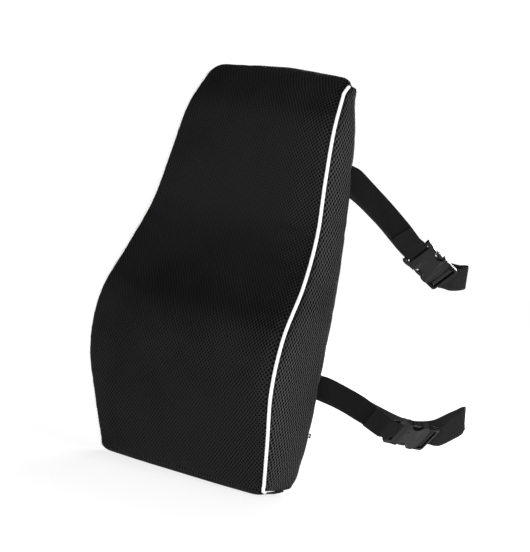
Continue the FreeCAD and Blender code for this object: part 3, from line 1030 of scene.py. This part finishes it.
@dataclass
class Cover(Cushion):
    """The cushion with its panels cut, sewn and dressed."""

    opening_half: float = 0.112      # half the zipper's opening, across
    bead_end: float = 0.034          # the piping stops this far in front of the back
    opening_low: float = field(init=False)
    opening_high: float = field(init=False)
    zip_z: float = field(init=False)

    def __post_init__(self) -> None:
        """Lay the shell out and fill it."""
        self.build_shell()
        self.inflate()
        low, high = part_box("zip_tape_lower")[0].z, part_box("zip_tape_upper")[1].z
        self.opening_low, self.opening_high = low - 0.1 * MM, high + 0.1 * MM
        self.zip_z = (low + high) / 2

    def in_opening(self, p: Vector) -> bool:
        """Whether a point of the back lies in the zipper's opening."""
        level = self.opening_low < p.z < self.opening_high
        return level and abs(p.x) < self.opening_half and p.y > BACK - 6 * MM

    def opening_cuts(self) -> list[tuple[Vector, Vector]]:
        """The planes round the zipper's opening."""
        up, right = Vector((0, 0, 1)), Vector((1, 0, 0))
        return [(up * self.opening_low, up), (up * self.opening_high, up),
                (right * self.opening_half, right), (-right * self.opening_half, right)]

    def panels(self) -> None:
        """The five panels, each thickened after its opening is cut."""
        zip_line = (Vector((0, 0, self.zip_z)), Vector((0, 0, 1)))
        plan = [
            ("cover_front", "front", Finish.FRONT_MESH, "cover_front_panel", "front_mesh", 0),
            ("cover_gusset_right", "side_right", Finish.SIDE_MESH, "cover_side_right", "side_mesh", 0),
            ("cover_gusset_left", "side_left", Finish.SIDE_MESH, "cover_side_left", "side_mesh", 0),
            ("cover_rear_upper", "back", Finish.BACK_MESH, "cover_back_upper", "back_mesh", 1),
            ("cover_rear_lower", "back", Finish.BACK_MESH, "cover_back_lower", "back_mesh", -1),
        ]
        for name, patch, finish, node, slot, half in plan:
            piece = self.panel(name, patch, finish)
            if patch != "front":
                cuts = self.opening_cuts() + ([zip_line] if half else [])

                def wanted(p: Vector, half: int = half) -> bool:
                    """Whether this face belongs to the panel: above the zipper, below it, or either."""
                    return not self.in_opening(p) and (half == 0 or (p.z - self.zip_z) * half > 0)

                keep_part(piece, wanted, cuts)
            self.thicken(piece)
            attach(piece, "cushion")
            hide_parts(node)
            log.info("%s: %d faces", name, len(piece.data.polygons))

    def filling(self) -> None:
        """The foam core and the liner round it, both inside the cover."""
        plan = [("foam_block", 0.0052, Finish.FOAM, "foam_core", "foam"),
                ("foam_sock", 0.0040, Finish.LINER, "foam_liner", "liner")]
        for name, inset, finish, node, slot in plan:
            piece = self.core(name, inset, finish)
            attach(piece, "cushion")
            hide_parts(node)
            log.info("%s made", name)

    def piping(self, side: Side) -> None:
        """The white bead in the front seam, tucked in at both ends."""
        ids = self.patches["front"].ids[:, -1 if side is Side.RIGHT else 0]
        line = self.points[ids]
        out = unit(np.hstack([np.full((len(ids), 1), 0.9 * side.value), self.seam_out]))
        centre = line + out * (self.piping_radius * 0.62)
        shown = line[:, 1] < BACK - self.bead_end
        centre, out = centre[shown], out[shown]
        count = int(lengths(centre)[-1] / (2 * MM))
        dense = resample(np.hstack([centre, out]), count)
        fade = np.clip(np.minimum(np.arange(count), np.arange(count)[::-1]) / 9.0, 0, 1)
        tuck = (1 - fade) ** 2 * 4 * MM
        bead = dense[:, :3] - unit(dense[:, 3:]) * tuck[:, None]
        name = "piping_bead_" + side.name.lower()
        piece = sweep(name, bead, dense[:, 3:], circle(self.piping_radius, 14), Finish.PIPING,
                      0.45 + 0.55 * np.sqrt(fade))
        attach(piece, "cushion")
        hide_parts("piping_" + side.name.lower())
        log.info("%s: %.3f m", name, lengths(bead)[-1])

    def zipper(self) -> None:
        """Dress the zipper's own pieces, and sew its opening's edges."""
        dress = {"zip_tape_upper": Finish.ZIP_TAPE, "zip_tape_lower": Finish.ZIP_TAPE,
                 "zip_teeth_upper": Finish.TEETH, "zip_teeth_lower": Finish.TEETH,
                 "zip_stop_left": Finish.METAL, "zip_stop_right": Finish.METAL,
                 "zip_slider": Finish.METAL, "zip_pull": Finish.METAL}
        for node, finish in dress.items():
            part = frame["nodes"][node]
            part.data.materials.clear()
            part.data.materials.append(finish.material)
            round_edges(part, (0.25 if finish is Finish.TEETH else 0.3) * MM)
        rows = []
        count, from_edge, short = 60, 2.4 * MM, 6 * MM
        x = np.linspace(-self.opening_half + short, self.opening_half - short, count)
        for z in (self.opening_low - from_edge, self.opening_high + from_edge):
            line = np.stack([x, np.full(count, BACK + 0.2 * MM), np.full(count, z)], 1)
            rows.append((line, np.tile([0.0, 1.0, 0.0], (count, 1))))
        piece = stitches("zip_opening_stitches", rows)
        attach(piece, "cushion")
        log.info("zipper dressed")


# ---- buckles, in millimetres until they are placed ----

PAST = 9.0                   # past either face of a buckle
ASIDE = 30.0                 # past either side of a buckle
Outline = Sequence[tuple[float, float]]


def prism(points: Outline, low: float, high: float, view: Callable) -> tuple[list, list]:
    """A straight-sided solid over an outline.

    Args:
        points: The outline.
        low: Where it starts.
        high: Where it ends.
        view: Turns (a, b, height) into a point.

    Returns:
        Vertices and faces.
    """
    n = len(points)
    verts = [view(a, b, c) for c in (low, high) for a, b in points]
    faces = [[(k + 1) % n, k, k + n, (k + 1) % n + n] for k in range(n)]
    faces += [list(range(n)), [k + n for k in range(n)][::-1]]
    return verts, faces


def plan_view(a: float, b: float, c: float) -> Vector:
    """A point from an outline in the buckle's face, with its height."""
    return Vector((a, b, c)) * MM


def side_view(a: float, b: float, c: float) -> Vector:
    """A point from an outline seen from the buckle's side, with its place across."""
    return Vector((a, c, b)) * MM


def solid(points: Outline, low: float = -PAST, high: float = PAST,
          view: Callable = plan_view) -> bpy.types.Object:
    """A solid to build a buckle's piece from, with its faces outwards.

    Args:
        points: Its outline.
        low: Where it starts.
        high: Where it ends.
        view: Which way the outline is seen.

    Returns:
        The object.
    """
    verts, faces = prism(points, low, high, view)
    piece = make_mesh("block", verts, faces, Finish.BUCKLE)
    work = bmesh.new()
    work.from_mesh(piece.data)
    bmesh.ops.recalc_face_normals(work, faces=work.faces)
    work.to_mesh(piece.data)
    work.free()
    return piece


def combine(piece: bpy.types.Object, other: bpy.types.Object, operation: str) -> None:
    """Cut, join or intersect a piece with another one, which is used up."""
    step = piece.modifiers.new(operation, "BOOLEAN")
    step.operation = operation
    step.solver = "EXACT"
    step.object = other
    bake_modifiers(piece)
    bpy.data.objects.remove(other)


def finished(piece: bpy.types.Object, rounding: float, segments: int) -> bpy.types.Mesh:
    """The piece's mesh with its edges rounded, once the piece itself is no longer needed."""
    round_edges(piece, rounding * MM, segments)
    bake_modifiers(piece)
    mesh = piece.data
    bpy.data.objects.remove(piece)
    return mesh


def rectangle(u: tuple[float, float], v: tuple[float, float]) -> list[tuple[float, float]]:
    """An outline between two corners."""
    return [(u[0], v[0]), (u[1], v[0]), (u[1], v[1]), (u[0], v[1])]


def both_ways(half: Outline) -> list[tuple[float, float]]:
    """An outline from its half on the +v side."""
    return [tuple(p) for p in half] + [(u, -v) for u, v in half[::-1]]


@dataclass
class Buckle:
    """A side-release buckle: u from the socket's bar to the plug, v across, n outwards."""

    half: float = 20.5               # half its width
    length: float = 47.5             # of the socket
    low: float = -5.0                # the socket's two faces
    high: float = 5.4
    wall: float = 2.0
    bar: float = 3.6                 # the crossbar that the short webbing is folded round: its width
    bar_half: float = 1.1            # and half its height
    slot: float = 4.4                # the slot beside it
    cavity: float = 17.0             # half the width inside
    window: tuple[float, float, float] = (26.0, 20.8, 8.6)   # u, v and radius
    plug: float = 14.5               # length of what stands out of the socket
    plug_low: float = -2.0           # the plug's two faces
    plug_high: float = 4.4
    middle_bar: float = 1.6          # height of the bar that the long webbing passes over
    slot_in: tuple[float, float] = (1.6, 4.6)    # the plug's slots, from the socket's end
    slot_out: tuple[float, float] = (7.0, 10.8)
    reach: float = 28.0              # how far the latch arms go in
    arm: float = 11.6                # from the middle to a latch arm
    arm_width: float = 3.2
    arm_half: float = 2.3            # half its height
    latch: tuple[float, float] = (21.6, 30.4)    # where the arms' shoulders are
    web: float = 15.0                # half the webbing's width

    def mouth(self, ahead: float) -> list[tuple[float, float]]:
        """The curved line where the halves meet, from the +v side to the middle, moved along u."""
        bow, middle = 3.4, self.length + 0.2 + ahead
        return [(middle - bow * (v / self.half) ** 2, v) for v in np.linspace(self.half - 0.4, 0, 8)]

    def socket_mesh(self) -> bpy.types.Mesh:
        """Female half: a horned crossbar, a waisted body, side windows and a curved mouth.

        Returns:
            The mesh, in the buckle's frame.
        """
        h, end = self.half, self.length
        waist = catmull(np.array([(7.0, h + 0.9), (12.5, h - 0.6), (18.5, h - 0.9), (34.0, h - 0.1),
                                  (41.0, h + 0.1), (end - 4.4, h - 0.3)]), 5)
        horn = round_corners([(0.0, h - 3.0), (-0.6, h + 1.1), (7.0, h + 1.1)], 2.2)
        body = solid(both_ways([(0.0, 0.0)] + list(horn)[:-1] + list(waist) + self.mouth(0.0)[1:]))
        top, low = self.high, self.low
        profile = [(-2, -2.6), (8, -2.9), (14, low + 0.3), (19, low), (end + 1, low), (end + 1, top),
                   (end - 5, top), (20, top), (14, top - 0.5), (8, 2.9), (-2, 2.5)]
        combine(body, solid(profile, -ASIDE, ASIDE, side_view), "INTERSECT")
        inner = self.bar + self.slot + self.wall
        hollow = rectangle((inner, end + 3), (-self.cavity, self.cavity))
        combine(body, solid(hollow, low + self.wall, top - self.wall), "DIFFERENCE")
        web = self.web + 0.8
        combine(body, solid(rectangle((self.bar, self.bar + self.slot), (-web, web))), "DIFFERENCE")
        for floor, ceiling in ((self.bar_half, PAST), (-PAST, -self.bar_half)):
            combine(body, solid(rectangle((-2, self.bar + 1), (-web, web)), floor, ceiling), "DIFFERENCE")
        u, v, r = self.window
        lip = r + 0.6
        for sign in (1, -1):
            arc = [(u + r * math.cos(a), sign * (v - r * math.sin(a))) for a in np.linspace(0, math.pi, 17)]
            combine(body, solid([(u + lip, sign * 26), *arc, (u - lip, sign * 26)]), "DIFFERENCE")
        for sign in (1, -1):
            groove = [(16.0, sign * 3.0), (20.0, sign * 8.5), (20.6, sign * 8.2), (16.8, sign * 2.6)]
            combine(body, solid(groove, top - 0.35, top + 1), "DIFFERENCE")
        return finished(body, 0.75, 3)

    def plug_mesh(self) -> bpy.types.Mesh:
        """Male half without its latch arms: a webbing frame of three bars, and the centre guide.

        Returns:
            The mesh, in the buckle's frame.
        """
        h = self.half
        start, end = self.length + 0.5, self.length + self.plug
        outer = round_corners([(start - 3.4, h - 0.4), (end, h - 0.4), (end, 0)], 4.0)
        body = solid(both_ways(self.mouth(0.4)[::-1] + [tuple(p) for p in outer[1:]]))
        low, high = self.plug_low, self.plug_high
        crowned = [(start - 9, low), (end - 3, low), (end + 1, low + 1.6), (end + 1, 1.4),
                   (end - 4, high - 0.7), (start + 2, high), (start - 9, high)]
        combine(body, solid(crowned, -ASIDE, ASIDE, side_view), "INTERSECT")
        web = self.web + 1.4
        first, last = self.length + self.slot_in[0], self.length + self.slot_out[1]
        combine(body, solid(rectangle((first, last), (-web, web)), self.middle_bar), "DIFFERENCE")
        combine(body, solid(rectangle((last - 1, end + 2), (-web, web)), 2.8), "DIFFERENCE")
        for near, far in (self.slot_in, self.slot_out):
            gap = rectangle((self.length + near, self.length + far), (-web, web))
            combine(body, solid(gap), "DIFFERENCE")
        guide = [(self.latch[0], 2.4), (self.latch[0] + 3, 4.0), (start + 1, 4.0)]
        combine(body, solid(both_ways(guide), -1.6, 1.8), "UNION")
        return finished(body, 0.75, 3)

    def arm_mesh(self, sign: int) -> bpy.types.Mesh:
        """One springy latch arm, with the ribbed shoulder that shows in the socket's window.

        Args:
            sign: 1 for the arm on the +v side, -1 for the other.

        Returns:
            The mesh, in the buckle's frame.
        """
        tip = self.length - self.reach
        start, end = self.latch
        inside, outside = self.arm - self.arm_width / 2, self.arm + self.arm_width / 2
        root = self.length - 0.4
        outline = [(root, inside), (root, outside), (end + 1.2, outside), (end + 1.2, self.half - 3.6),
                   (end - 3.4, self.half - 3.6), (end - 3.4, self.arm + 2.4), (start, self.arm + 1.8),
                   (tip + 1, self.arm + 0.3), (tip, inside + 0.6), (tip, inside)]
        body = solid([(u, sign * v) for u, v in outline], -self.arm_half, self.arm_half)
        out, back = self.half - 0.5, self.half - 3.9
        bow = [(end + 1.6, back), (end + 1.6, out - 0.5), ((start + end) / 2, out), (start - 1.0, out - 0.6),
               (start - 1.8, back + 0.8), (start - 1.0, back)]
        shoulder = solid([(u, sign * v) for u, v in bow], -self.arm_half - 0.4, self.arm_half + 0.7)
        combine(body, shoulder, "UNION")
        for k in range(4):
            u = start + 1.2 + 1.5 * k
            rib = rectangle((u, u + 0.6), tuple(sorted((sign * (out - 0.45), sign * (out + 1)))))
            combine(body, solid(rib), "DIFFERENCE")
        return finished(body, 0.3, 2)

    def meshes(self) -> dict[str, bpy.types.Mesh]:
        """Each piece's mesh, by its CAD node's last name."""
        return {"buckle_socket": self.socket_mesh(), "buckle_plug": self.plug_mesh(),
                "prong_top": self.arm_mesh(1), "prong_bottom": self.arm_mesh(-1)}


# ---- straps ----

@dataclass
class StrapLoop:
    """One buckled loop: a short webbing, a buckle and a long webbing back round to the other side.

    Places are in millimetres, as (x, distance behind the back, height), with the webbing's width direction.
    """

    name: str
    origin: tuple[float, float, float]   # the buckle's place and its directions
    u: tuple[float, float, float]
    v: tuple[float, float, float]
    right: tuple                     # the short webbing's stations, from its sewn end
    left: tuple                      # the long webbing's, to its sewn end
    apex: int                        # the left route's point where the webbing turns back
    buckle: Buckle = field(default_factory=Buckle)
    width: float = 30.0
    thick: float = 1.5
    flap_length: float = 0.028       # of the short webbing's stitched-down end, in metres
    flap_step: float = 0.0015        # between the points along it, in metres
    root_reach: float = 0.032        # metres from its sewn end, where the webbing has bent fully

    def placement(self) -> Matrix:
        """The matrix from the buckle's frame to the row's."""
        u = Vector(self.u).normalized()
        v = (Vector(self.v) - u * Vector(self.v).dot(u)).normalized()
        n = u.cross(v)
        o = Vector(self.place(self.origin))
        return Matrix(((u.x, v.x, n.x, o.x), (u.y, v.y, n.y, o.y), (u.z, v.z, n.z, o.z), (0, 0, 0, 1)))

    def place(self, p: Sequence[float]) -> np.ndarray:
        """A point of a route in the row's frame."""
        return np.array([p[0] * MM, p[1] * MM + BACK, p[2] * MM + LIFT])

    def in_buckle(self, path: np.ndarray) -> np.ndarray:
        """Points given as (u, n) in the buckle's frame, in the row's frame."""
        at = self.placement()
        return np.array([at @ Vector((u * MM, 0.0, n * MM)) for u, n in path])

    def across(self) -> np.ndarray:
        """The buckle's own width direction."""
        return np.array(self.placement().col[1][:3])

    def route(self, stations: Sequence) -> tuple[np.ndarray, np.ndarray]:
        """A smooth line through given stations.

        Args:
            stations: Each one's point and width direction.

        Returns:
            The line's points and the width direction at each.
        """
        mixed = np.array([[*self.place(p), *w] for p, w in stations])
        dense = catmull(mixed, 8)
        return dense[:, :3], dense[:, 3:]

    def join(self, *parts: tuple[np.ndarray, np.ndarray]) -> tuple[np.ndarray, np.ndarray]:
        """Stretches of webbing laid end to end, with evenly spaced points."""
        line = np.vstack([p for p, _ in parts])
        wide = np.vstack([w for _, w in parts])
        both = np.hstack([line, wide])
        keep = np.concatenate([[True], np.linalg.norm(np.diff(line, axis=0), axis=1) > 2e-5])
        both = both[keep]
        return both[:, :3], both[:, 3:]

    def short_path(self) -> tuple[np.ndarray, np.ndarray]:
        """From the right-hand seam to the socket, round its bar and back along itself."""
        line, wide = self.route(self.right)
        rim = self.buckle.bar_half
        bend = rim + self.thick / 2 + 0.2
        turn = [(self.buckle.bar - rim + bend * math.sin(a), -bend * math.cos(a))
                for a in np.linspace(0, math.pi, 11)]
        near = self.in_buckle(np.array([(-12.0, 0.0), (-8.0, -0.35)]))
        under = self.join((line, wide), (near, np.tile(self.across(), (2, 1))))
        lead = [(-8.0, -0.35), (-4.0, -1.5), (-0.8, -bend)]
        fold = self.in_buckle(catmull(np.array(lead + turn + [(-0.8, bend), (-4.0, 1.9)]), 3))
        tail = self.flap(under)
        return self.join(under, (fold[1:], np.tile(self.across(), (len(fold) - 1, 1))), tail[:2])

    def flap(self, under: tuple[np.ndarray, np.ndarray]) -> tuple[np.ndarray, np.ndarray, np.ndarray]:
        """The stitched-down end of the short webbing, lying on the webbing under it.

        Args:
            under: The webbing that it lies on: its line and width directions.

        Returns:
            Its line from the bar's side to its end, width directions and outward directions.
        """
        rows = np.hstack(under)[::-1]
        at = lengths(rows[:, :3])
        steps = np.arange(0.0, self.flap_length, self.flap_step)
        rows = np.stack([np.interp(steps, at, rows[:, k]) for k in range(6)], 1)
        wide = unit(rows[:, 3:])
        out = unit(np.cross(-np.gradient(rows[:, :3], axis=0), wide))
        return rows[:, :3] + out * (self.thick + 0.15) * MM, wide, out

    def thread_path(self) -> np.ndarray:
        """Through the plug: the tail under the end bar, over the middle bar, and back underneath."""
        b = self.buckle
        end = b.length + b.plug
        inner = b.length + b.slot_in[1]
        outer = b.length + b.slot_out[0]
        gap = self.thick / 2 + 0.15
        under, low = b.plug_low - gap, b.plug_low - 2 * gap - self.thick / 2 - 0.1
        over = b.middle_bar + gap
        corners = [(end + 5, under - 0.3), (end + 2, under - 0.1), (outer + gap + 0.6, under),
                   (outer + gap, over), (inner - gap, over), (inner - gap - 0.2, low),
                   (outer + 1, low - 0.2), (end + 4, low - 0.3)]
        return round_corners(corners, 1.5)

    def long_path(self) -> tuple[np.ndarray, np.ndarray]:
        """From the tail, through the plug, round the turn and behind the cushion to the left-hand seam."""
        thread = self.in_buckle(self.thread_path())
        start = (thread[-1] - np.array([0, BACK, LIFT])) / MM
        line, wide = self.route([(start, self.across()), *self.left])
        return self.join((thread, np.tile(self.across(), (len(thread), 1))), (line[1:], wide[1:]))

    def strap_piece(self, name: str, line: np.ndarray, wide: np.ndarray) -> bpy.types.Object:
        """A stretch of webbing, swept along its line."""
        # The long webbing takes the paler copy of the weave: painted light.
        finish = Finish.LONG_WEBBING if "_long_" in name else Finish.WEBBING
        piece = sweep(name, line, wide, band_outline(self.width * MM, self.thick * MM), finish)
        return piece

    def webbings(self) -> None:
        """Both webbings. The long one is two pieces that meet where it turns back."""
        line, wide = self.short_path()
        piece = self.strap_piece(f"{self.name}_short_webbing", line, wide)
        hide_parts(f"{self.name}_webbing_right")
        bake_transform(piece)
        line, wide = self.long_path()
        turn = self.place(self.left[self.apex][0])
        split = int(np.argmin(np.linalg.norm(line - turn, axis=1)))
        near = self.strap_piece(f"{self.name}_long_webbing_turn", line[:split + 1], wide[:split + 1])
        far = self.strap_piece(f"{self.name}_long_webbing_return", line[split:], wide[split:])
        for part in (near, far):
            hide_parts(f"{self.name}_webbing_left")
        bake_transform(near)
        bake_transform(far)

    def box_stitch(self) -> None:
        """The sewn box and cross that hold the short webbing's fold."""
        line, wide = self.short_path()
        count = len(np.arange(0.0, self.flap_length, self.flap_step))
        line, wide = line[-count:], unit(wide[-count:])
        out = unit(np.cross(-np.gradient(line, axis=0), wide))
        at = lengths(line)
        near, far, side = at[-1] - 21 * MM, at[-1] - 3 * MM, (self.width / 2 - 2.5) * MM
        ring = [(near, -side), (near, side), (far, side), (far, -side), (near, -side)]
        runs = [[a, b] for a, b in zip(ring, ring[1:])] + [[ring[0], ring[2]], [ring[1], ring[3]]]
        rows = []
        for run in runs:
            path = resample(np.array(run), 24)
            middle, aside, up = (np.stack([np.interp(path[:, 0], at, m[:, k]) for k in range(3)], 1)
                                 for m in (line, wide, out))
            rows.append((middle + aside * path[:, 1:] + up * (self.thick / 2 * MM), up))
        piece = stitches(f"{self.name}_box_stitch", rows)
        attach(piece, f"{self.name}_loop")
        log.info("%s sewn", piece.name)

    def buckle_pieces(self, meshes: dict[str, bpy.types.Mesh]) -> None:
        """Place the buckle's four pieces and put each on its body."""
        # The plug's frame takes the darker copy of the buckle's plastic: painted shade.
        plan = {"buckle_socket": ("buckle_body", "loop", Finish.BUCKLE),
                "buckle_plug": ("buckle_frame", "plug", Finish.BUCKLE_FRAME),
                "prong_top": ("latch_arm_top", "latch_top", Finish.BUCKLE),
                "prong_bottom": ("latch_arm_bottom", "latch_bottom", Finish.BUCKLE)}
        for node, (name, body, finish) in plan.items():
            made = meshes[node].copy()
            made.transform(self.placement())
            made.materials.clear()
            made.materials.append(finish.material)
            piece = bpy.data.objects.new(f"{self.name}_{name}", made)
            bpy.context.scene.collection.objects.link(piece)
            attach(piece, f"{self.name}_{body}")
            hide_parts(f"{self.name}_{node}")
            log.info("%s: %d faces", piece.name, len(made.polygons))


def strap_loops() -> list[StrapLoop]:
    """The two loops, with the same routes as the CAD model's."""
    upright = (0, 0, 1)
    upper = StrapLoop(
        "upper", (153.0, 115.0, 314.4), (0.411, 0.768, -0.492), (0.698, 0.141, 0.694),
        right=(((102, -6, 388.5), upright), ((107, 0.4, 387), upright), ((109.5, 9, 384.5), (0.05, 0, 1)),
               ((116, 29, 372.5), (0.2, 0.05, 1)), ((130, 60, 352), (0.45, 0.1, 0.9)),
               ((141, 87, 334), (0.6, 0.13, 0.78))),
        left=(((184, 180, 286), (0.3, 0.05, 0.95)), ((187, 198, 290), (0.05, 0, 1)),
              ((178, 216, 292), (-0.1, 0, 1)), ((160, 222, 290), (-0.05, 0, 1)),
              ((139, 210, 294), (0.2, 0.05, 0.95)), ((114, 172, 316), (0.35, 0.1, 0.9)),
              ((91, 120, 352), (0.2, 0.1, 0.95)), ((62, 76, 380), upright), ((20, 50, 387), upright),
              ((-40, 38, 388), upright), ((-85, 22, 387), upright), ((-103, 11, 387), upright),
              ((-107, 0.4, 387), upright), ((-102, -6, 387), upright)),
        apex=2)
    lower = StrapLoop(
        "lower", (200.3, 60.0, 93.7), (0.42, 0.905, -0.091), (0.649, -0.116, 0.754),
        right=(((116, -7, 129.5), upright), ((121, 0.4, 128), upright), ((126, 8, 126.7), (0.05, 0, 1)),
               ((141, 21, 121), (0.2, 0, 1)), ((162, 35, 112.5), (0.35, -0.02, 0.95)),
               ((182, 44, 102), (0.5, -0.08, 0.85))),
        left=(((233, 131, 93), (0.45, -0.05, 0.9)), ((240, 142, 103), (0.2, -0.05, 1)),
              ((245, 155, 114), (0, -0.1, 1)), ((240, 168, 118), (-0.1, -0.1, 1)),
              ((225, 174, 108), (-0.1, 0, 1)), ((204, 163, 92), (0.1, 0.05, 1)),
              ((178, 136, 87), (0.1, 0.05, 1)), ((146, 104, 98), (0.05, 0.05, 1)),
              ((108, 77, 114), upright), ((60, 57, 123), upright), ((0, 45, 127), upright),
              ((-70, 30, 128), upright), ((-107, 17, 128), upright), ((-118, 8, 128), upright),
              ((-121, 0.4, 128), upright), ((-116, -7, 128), upright)),
        apex=3)
    return [upper, lower]


# ---- the studio ----

@dataclass
class Studio:
    """Pale floor, soft lights and the camera."""

    camera_at: tuple[float, float, float] = (1.3566, -2.0567, 0.3759)
    look_at: tuple[float, float, float] = (0.041, 0.010, 0.2572)
    lit_at: tuple[float, float, float] = (0.0, 0.0, 0.25)
    roll: float = 11.24              # degrees that the camera leans
    lens: float = 130.4
    ambient: float = 0.16            # how much light comes from all round
    background: float = 1.05         # brightness of what lies behind, which lights nothing
    floor_reach: float = 12.0
    # The floor's glow is lower under the cushion: a painted shadow.
    glow_with_painted_shadow: tuple[float, float] = (0.78, 0.97)     # the floor's own brightness, under the cushion and away

    def camera(self) -> None:
        """The camera, rolled to one side."""
        data = bpy.data.cameras.new("camera")
        data.lens = self.lens
        data.clip_end = 50
        camera = bpy.data.objects.new("camera", data)
        bpy.context.scene.collection.objects.link(camera)
        ahead = (Vector(self.look_at) - Vector(self.camera_at)).normalized()
        turn = ahead.to_track_quat("-Z", "Y").to_matrix() @ Matrix.Rotation(math.radians(self.roll), 3, "Z")
        camera.matrix_world = Matrix.Translation(self.camera_at) @ turn.to_4x4()
        bpy.context.scene.camera = camera

    def floor(self) -> None:
        """A wide plain glowing floor, a little less bright near the cushion as a painted shadow, so that its
        soft shadow shows.
        """
        mesh = bpy.data.meshes.new("floor")
        r = self.floor_reach
        mesh.from_pydata([(-r, -r, 0), (r, -r, 0), (r, r, 0), (-r, r, 0)], [], [(0, 1, 2, 3)])
        floor = bpy.data.objects.new("floor", mesh)
        bpy.context.scene.collection.objects.link(floor)
        g = Nodes("floor_paper")
        g.set(Base_Color=g.mix(g.noise(3.0, 2.0), grey(0.24), grey(0.26)))
        g.set(Roughness=0.95, Specular_IOR_Level=0.1)
        away = g.tree.nodes.new("ShaderNodeVectorMath")
        away.operation = "LENGTH"
        g.put(away.inputs[0], g.tree.nodes.new("ShaderNodeTexCoord").outputs["Object"])
        g.set(Emission_Color=grey(1.0))
        # Painted shadow: the floor glows less within 0.7 m of its middle, under the cushion.
        g.set(Emission_Strength=g.ramp(away.outputs["Value"], 0.25, 0.7, *self.glow_with_painted_shadow))
        mesh.materials.append(g.material)

    def light(self, name: str, at: tuple[float, float, float], size: float, power: float) -> None:
        """A square soft light aimed at the cushion.

        Args:
            name: Its name.
            at: Where it stands.
            size: Its side.
            power: Its power in watts.
        """
        data = bpy.data.lights.new(name, "AREA")
        data.size = size
        data.energy = power
        lamp = bpy.data.objects.new(name, data)
        lamp.location = at
        lamp.rotation_mode = "QUATERNION"
        lamp.rotation_quaternion = (Vector(self.lit_at) - Vector(at)).to_track_quat("-Z", "Y")
        bpy.context.scene.collection.objects.link(lamp)

    def build(self) -> None:
        """Set the whole studio up."""
        scene = bpy.context.scene
        world = scene.world or bpy.data.worlds.new("studio")
        scene.world = world
        world.use_nodes = True
        nodes, links = world.node_tree.nodes, world.node_tree.links
        sky, seen = nodes["Background"], nodes.new("ShaderNodeMapRange")
        sky.inputs["Color"].default_value = grey(1.0)
        links.new(nodes.new("ShaderNodeLightPath").outputs["Is Camera Ray"], seen.inputs[0])
        seen.inputs["To Min"].default_value = self.ambient
        seen.inputs["To Max"].default_value = self.background
        links.new(seen.outputs[0], sky.inputs["Strength"])
        scene.view_settings.view_transform = "Standard"
        self.camera()
        self.floor()
        self.light("key", (0.9, -2.4, 0.45), 0.9, 62)
        self.light("side", (2.3, -0.1, 0.9), 1.1, 42)
        self.light("top", (0.0, 0.3, 2.6), 2.0, 14)
        self.light("back", (-0.8, 2.4, 0.9), 1.2, 60)


def main() -> None:
    """Build the cushion, its straps and the studio, in that order."""
    logging.basicConfig(level=logging.INFO, format="%(name)s: %(message)s")
    Studio().build()
    cover = Cover()
    cover.panels()
    cover.filling()
    for side in Side:
        cover.piping(side)
    cover.zipper()
    meshes = Buckle().meshes()
    for loop in strap_loops():
        loop.webbings()
        loop.box_stitch()
        loop.buckle_pieces(meshes)


if __name__ == "__main__":
    main()
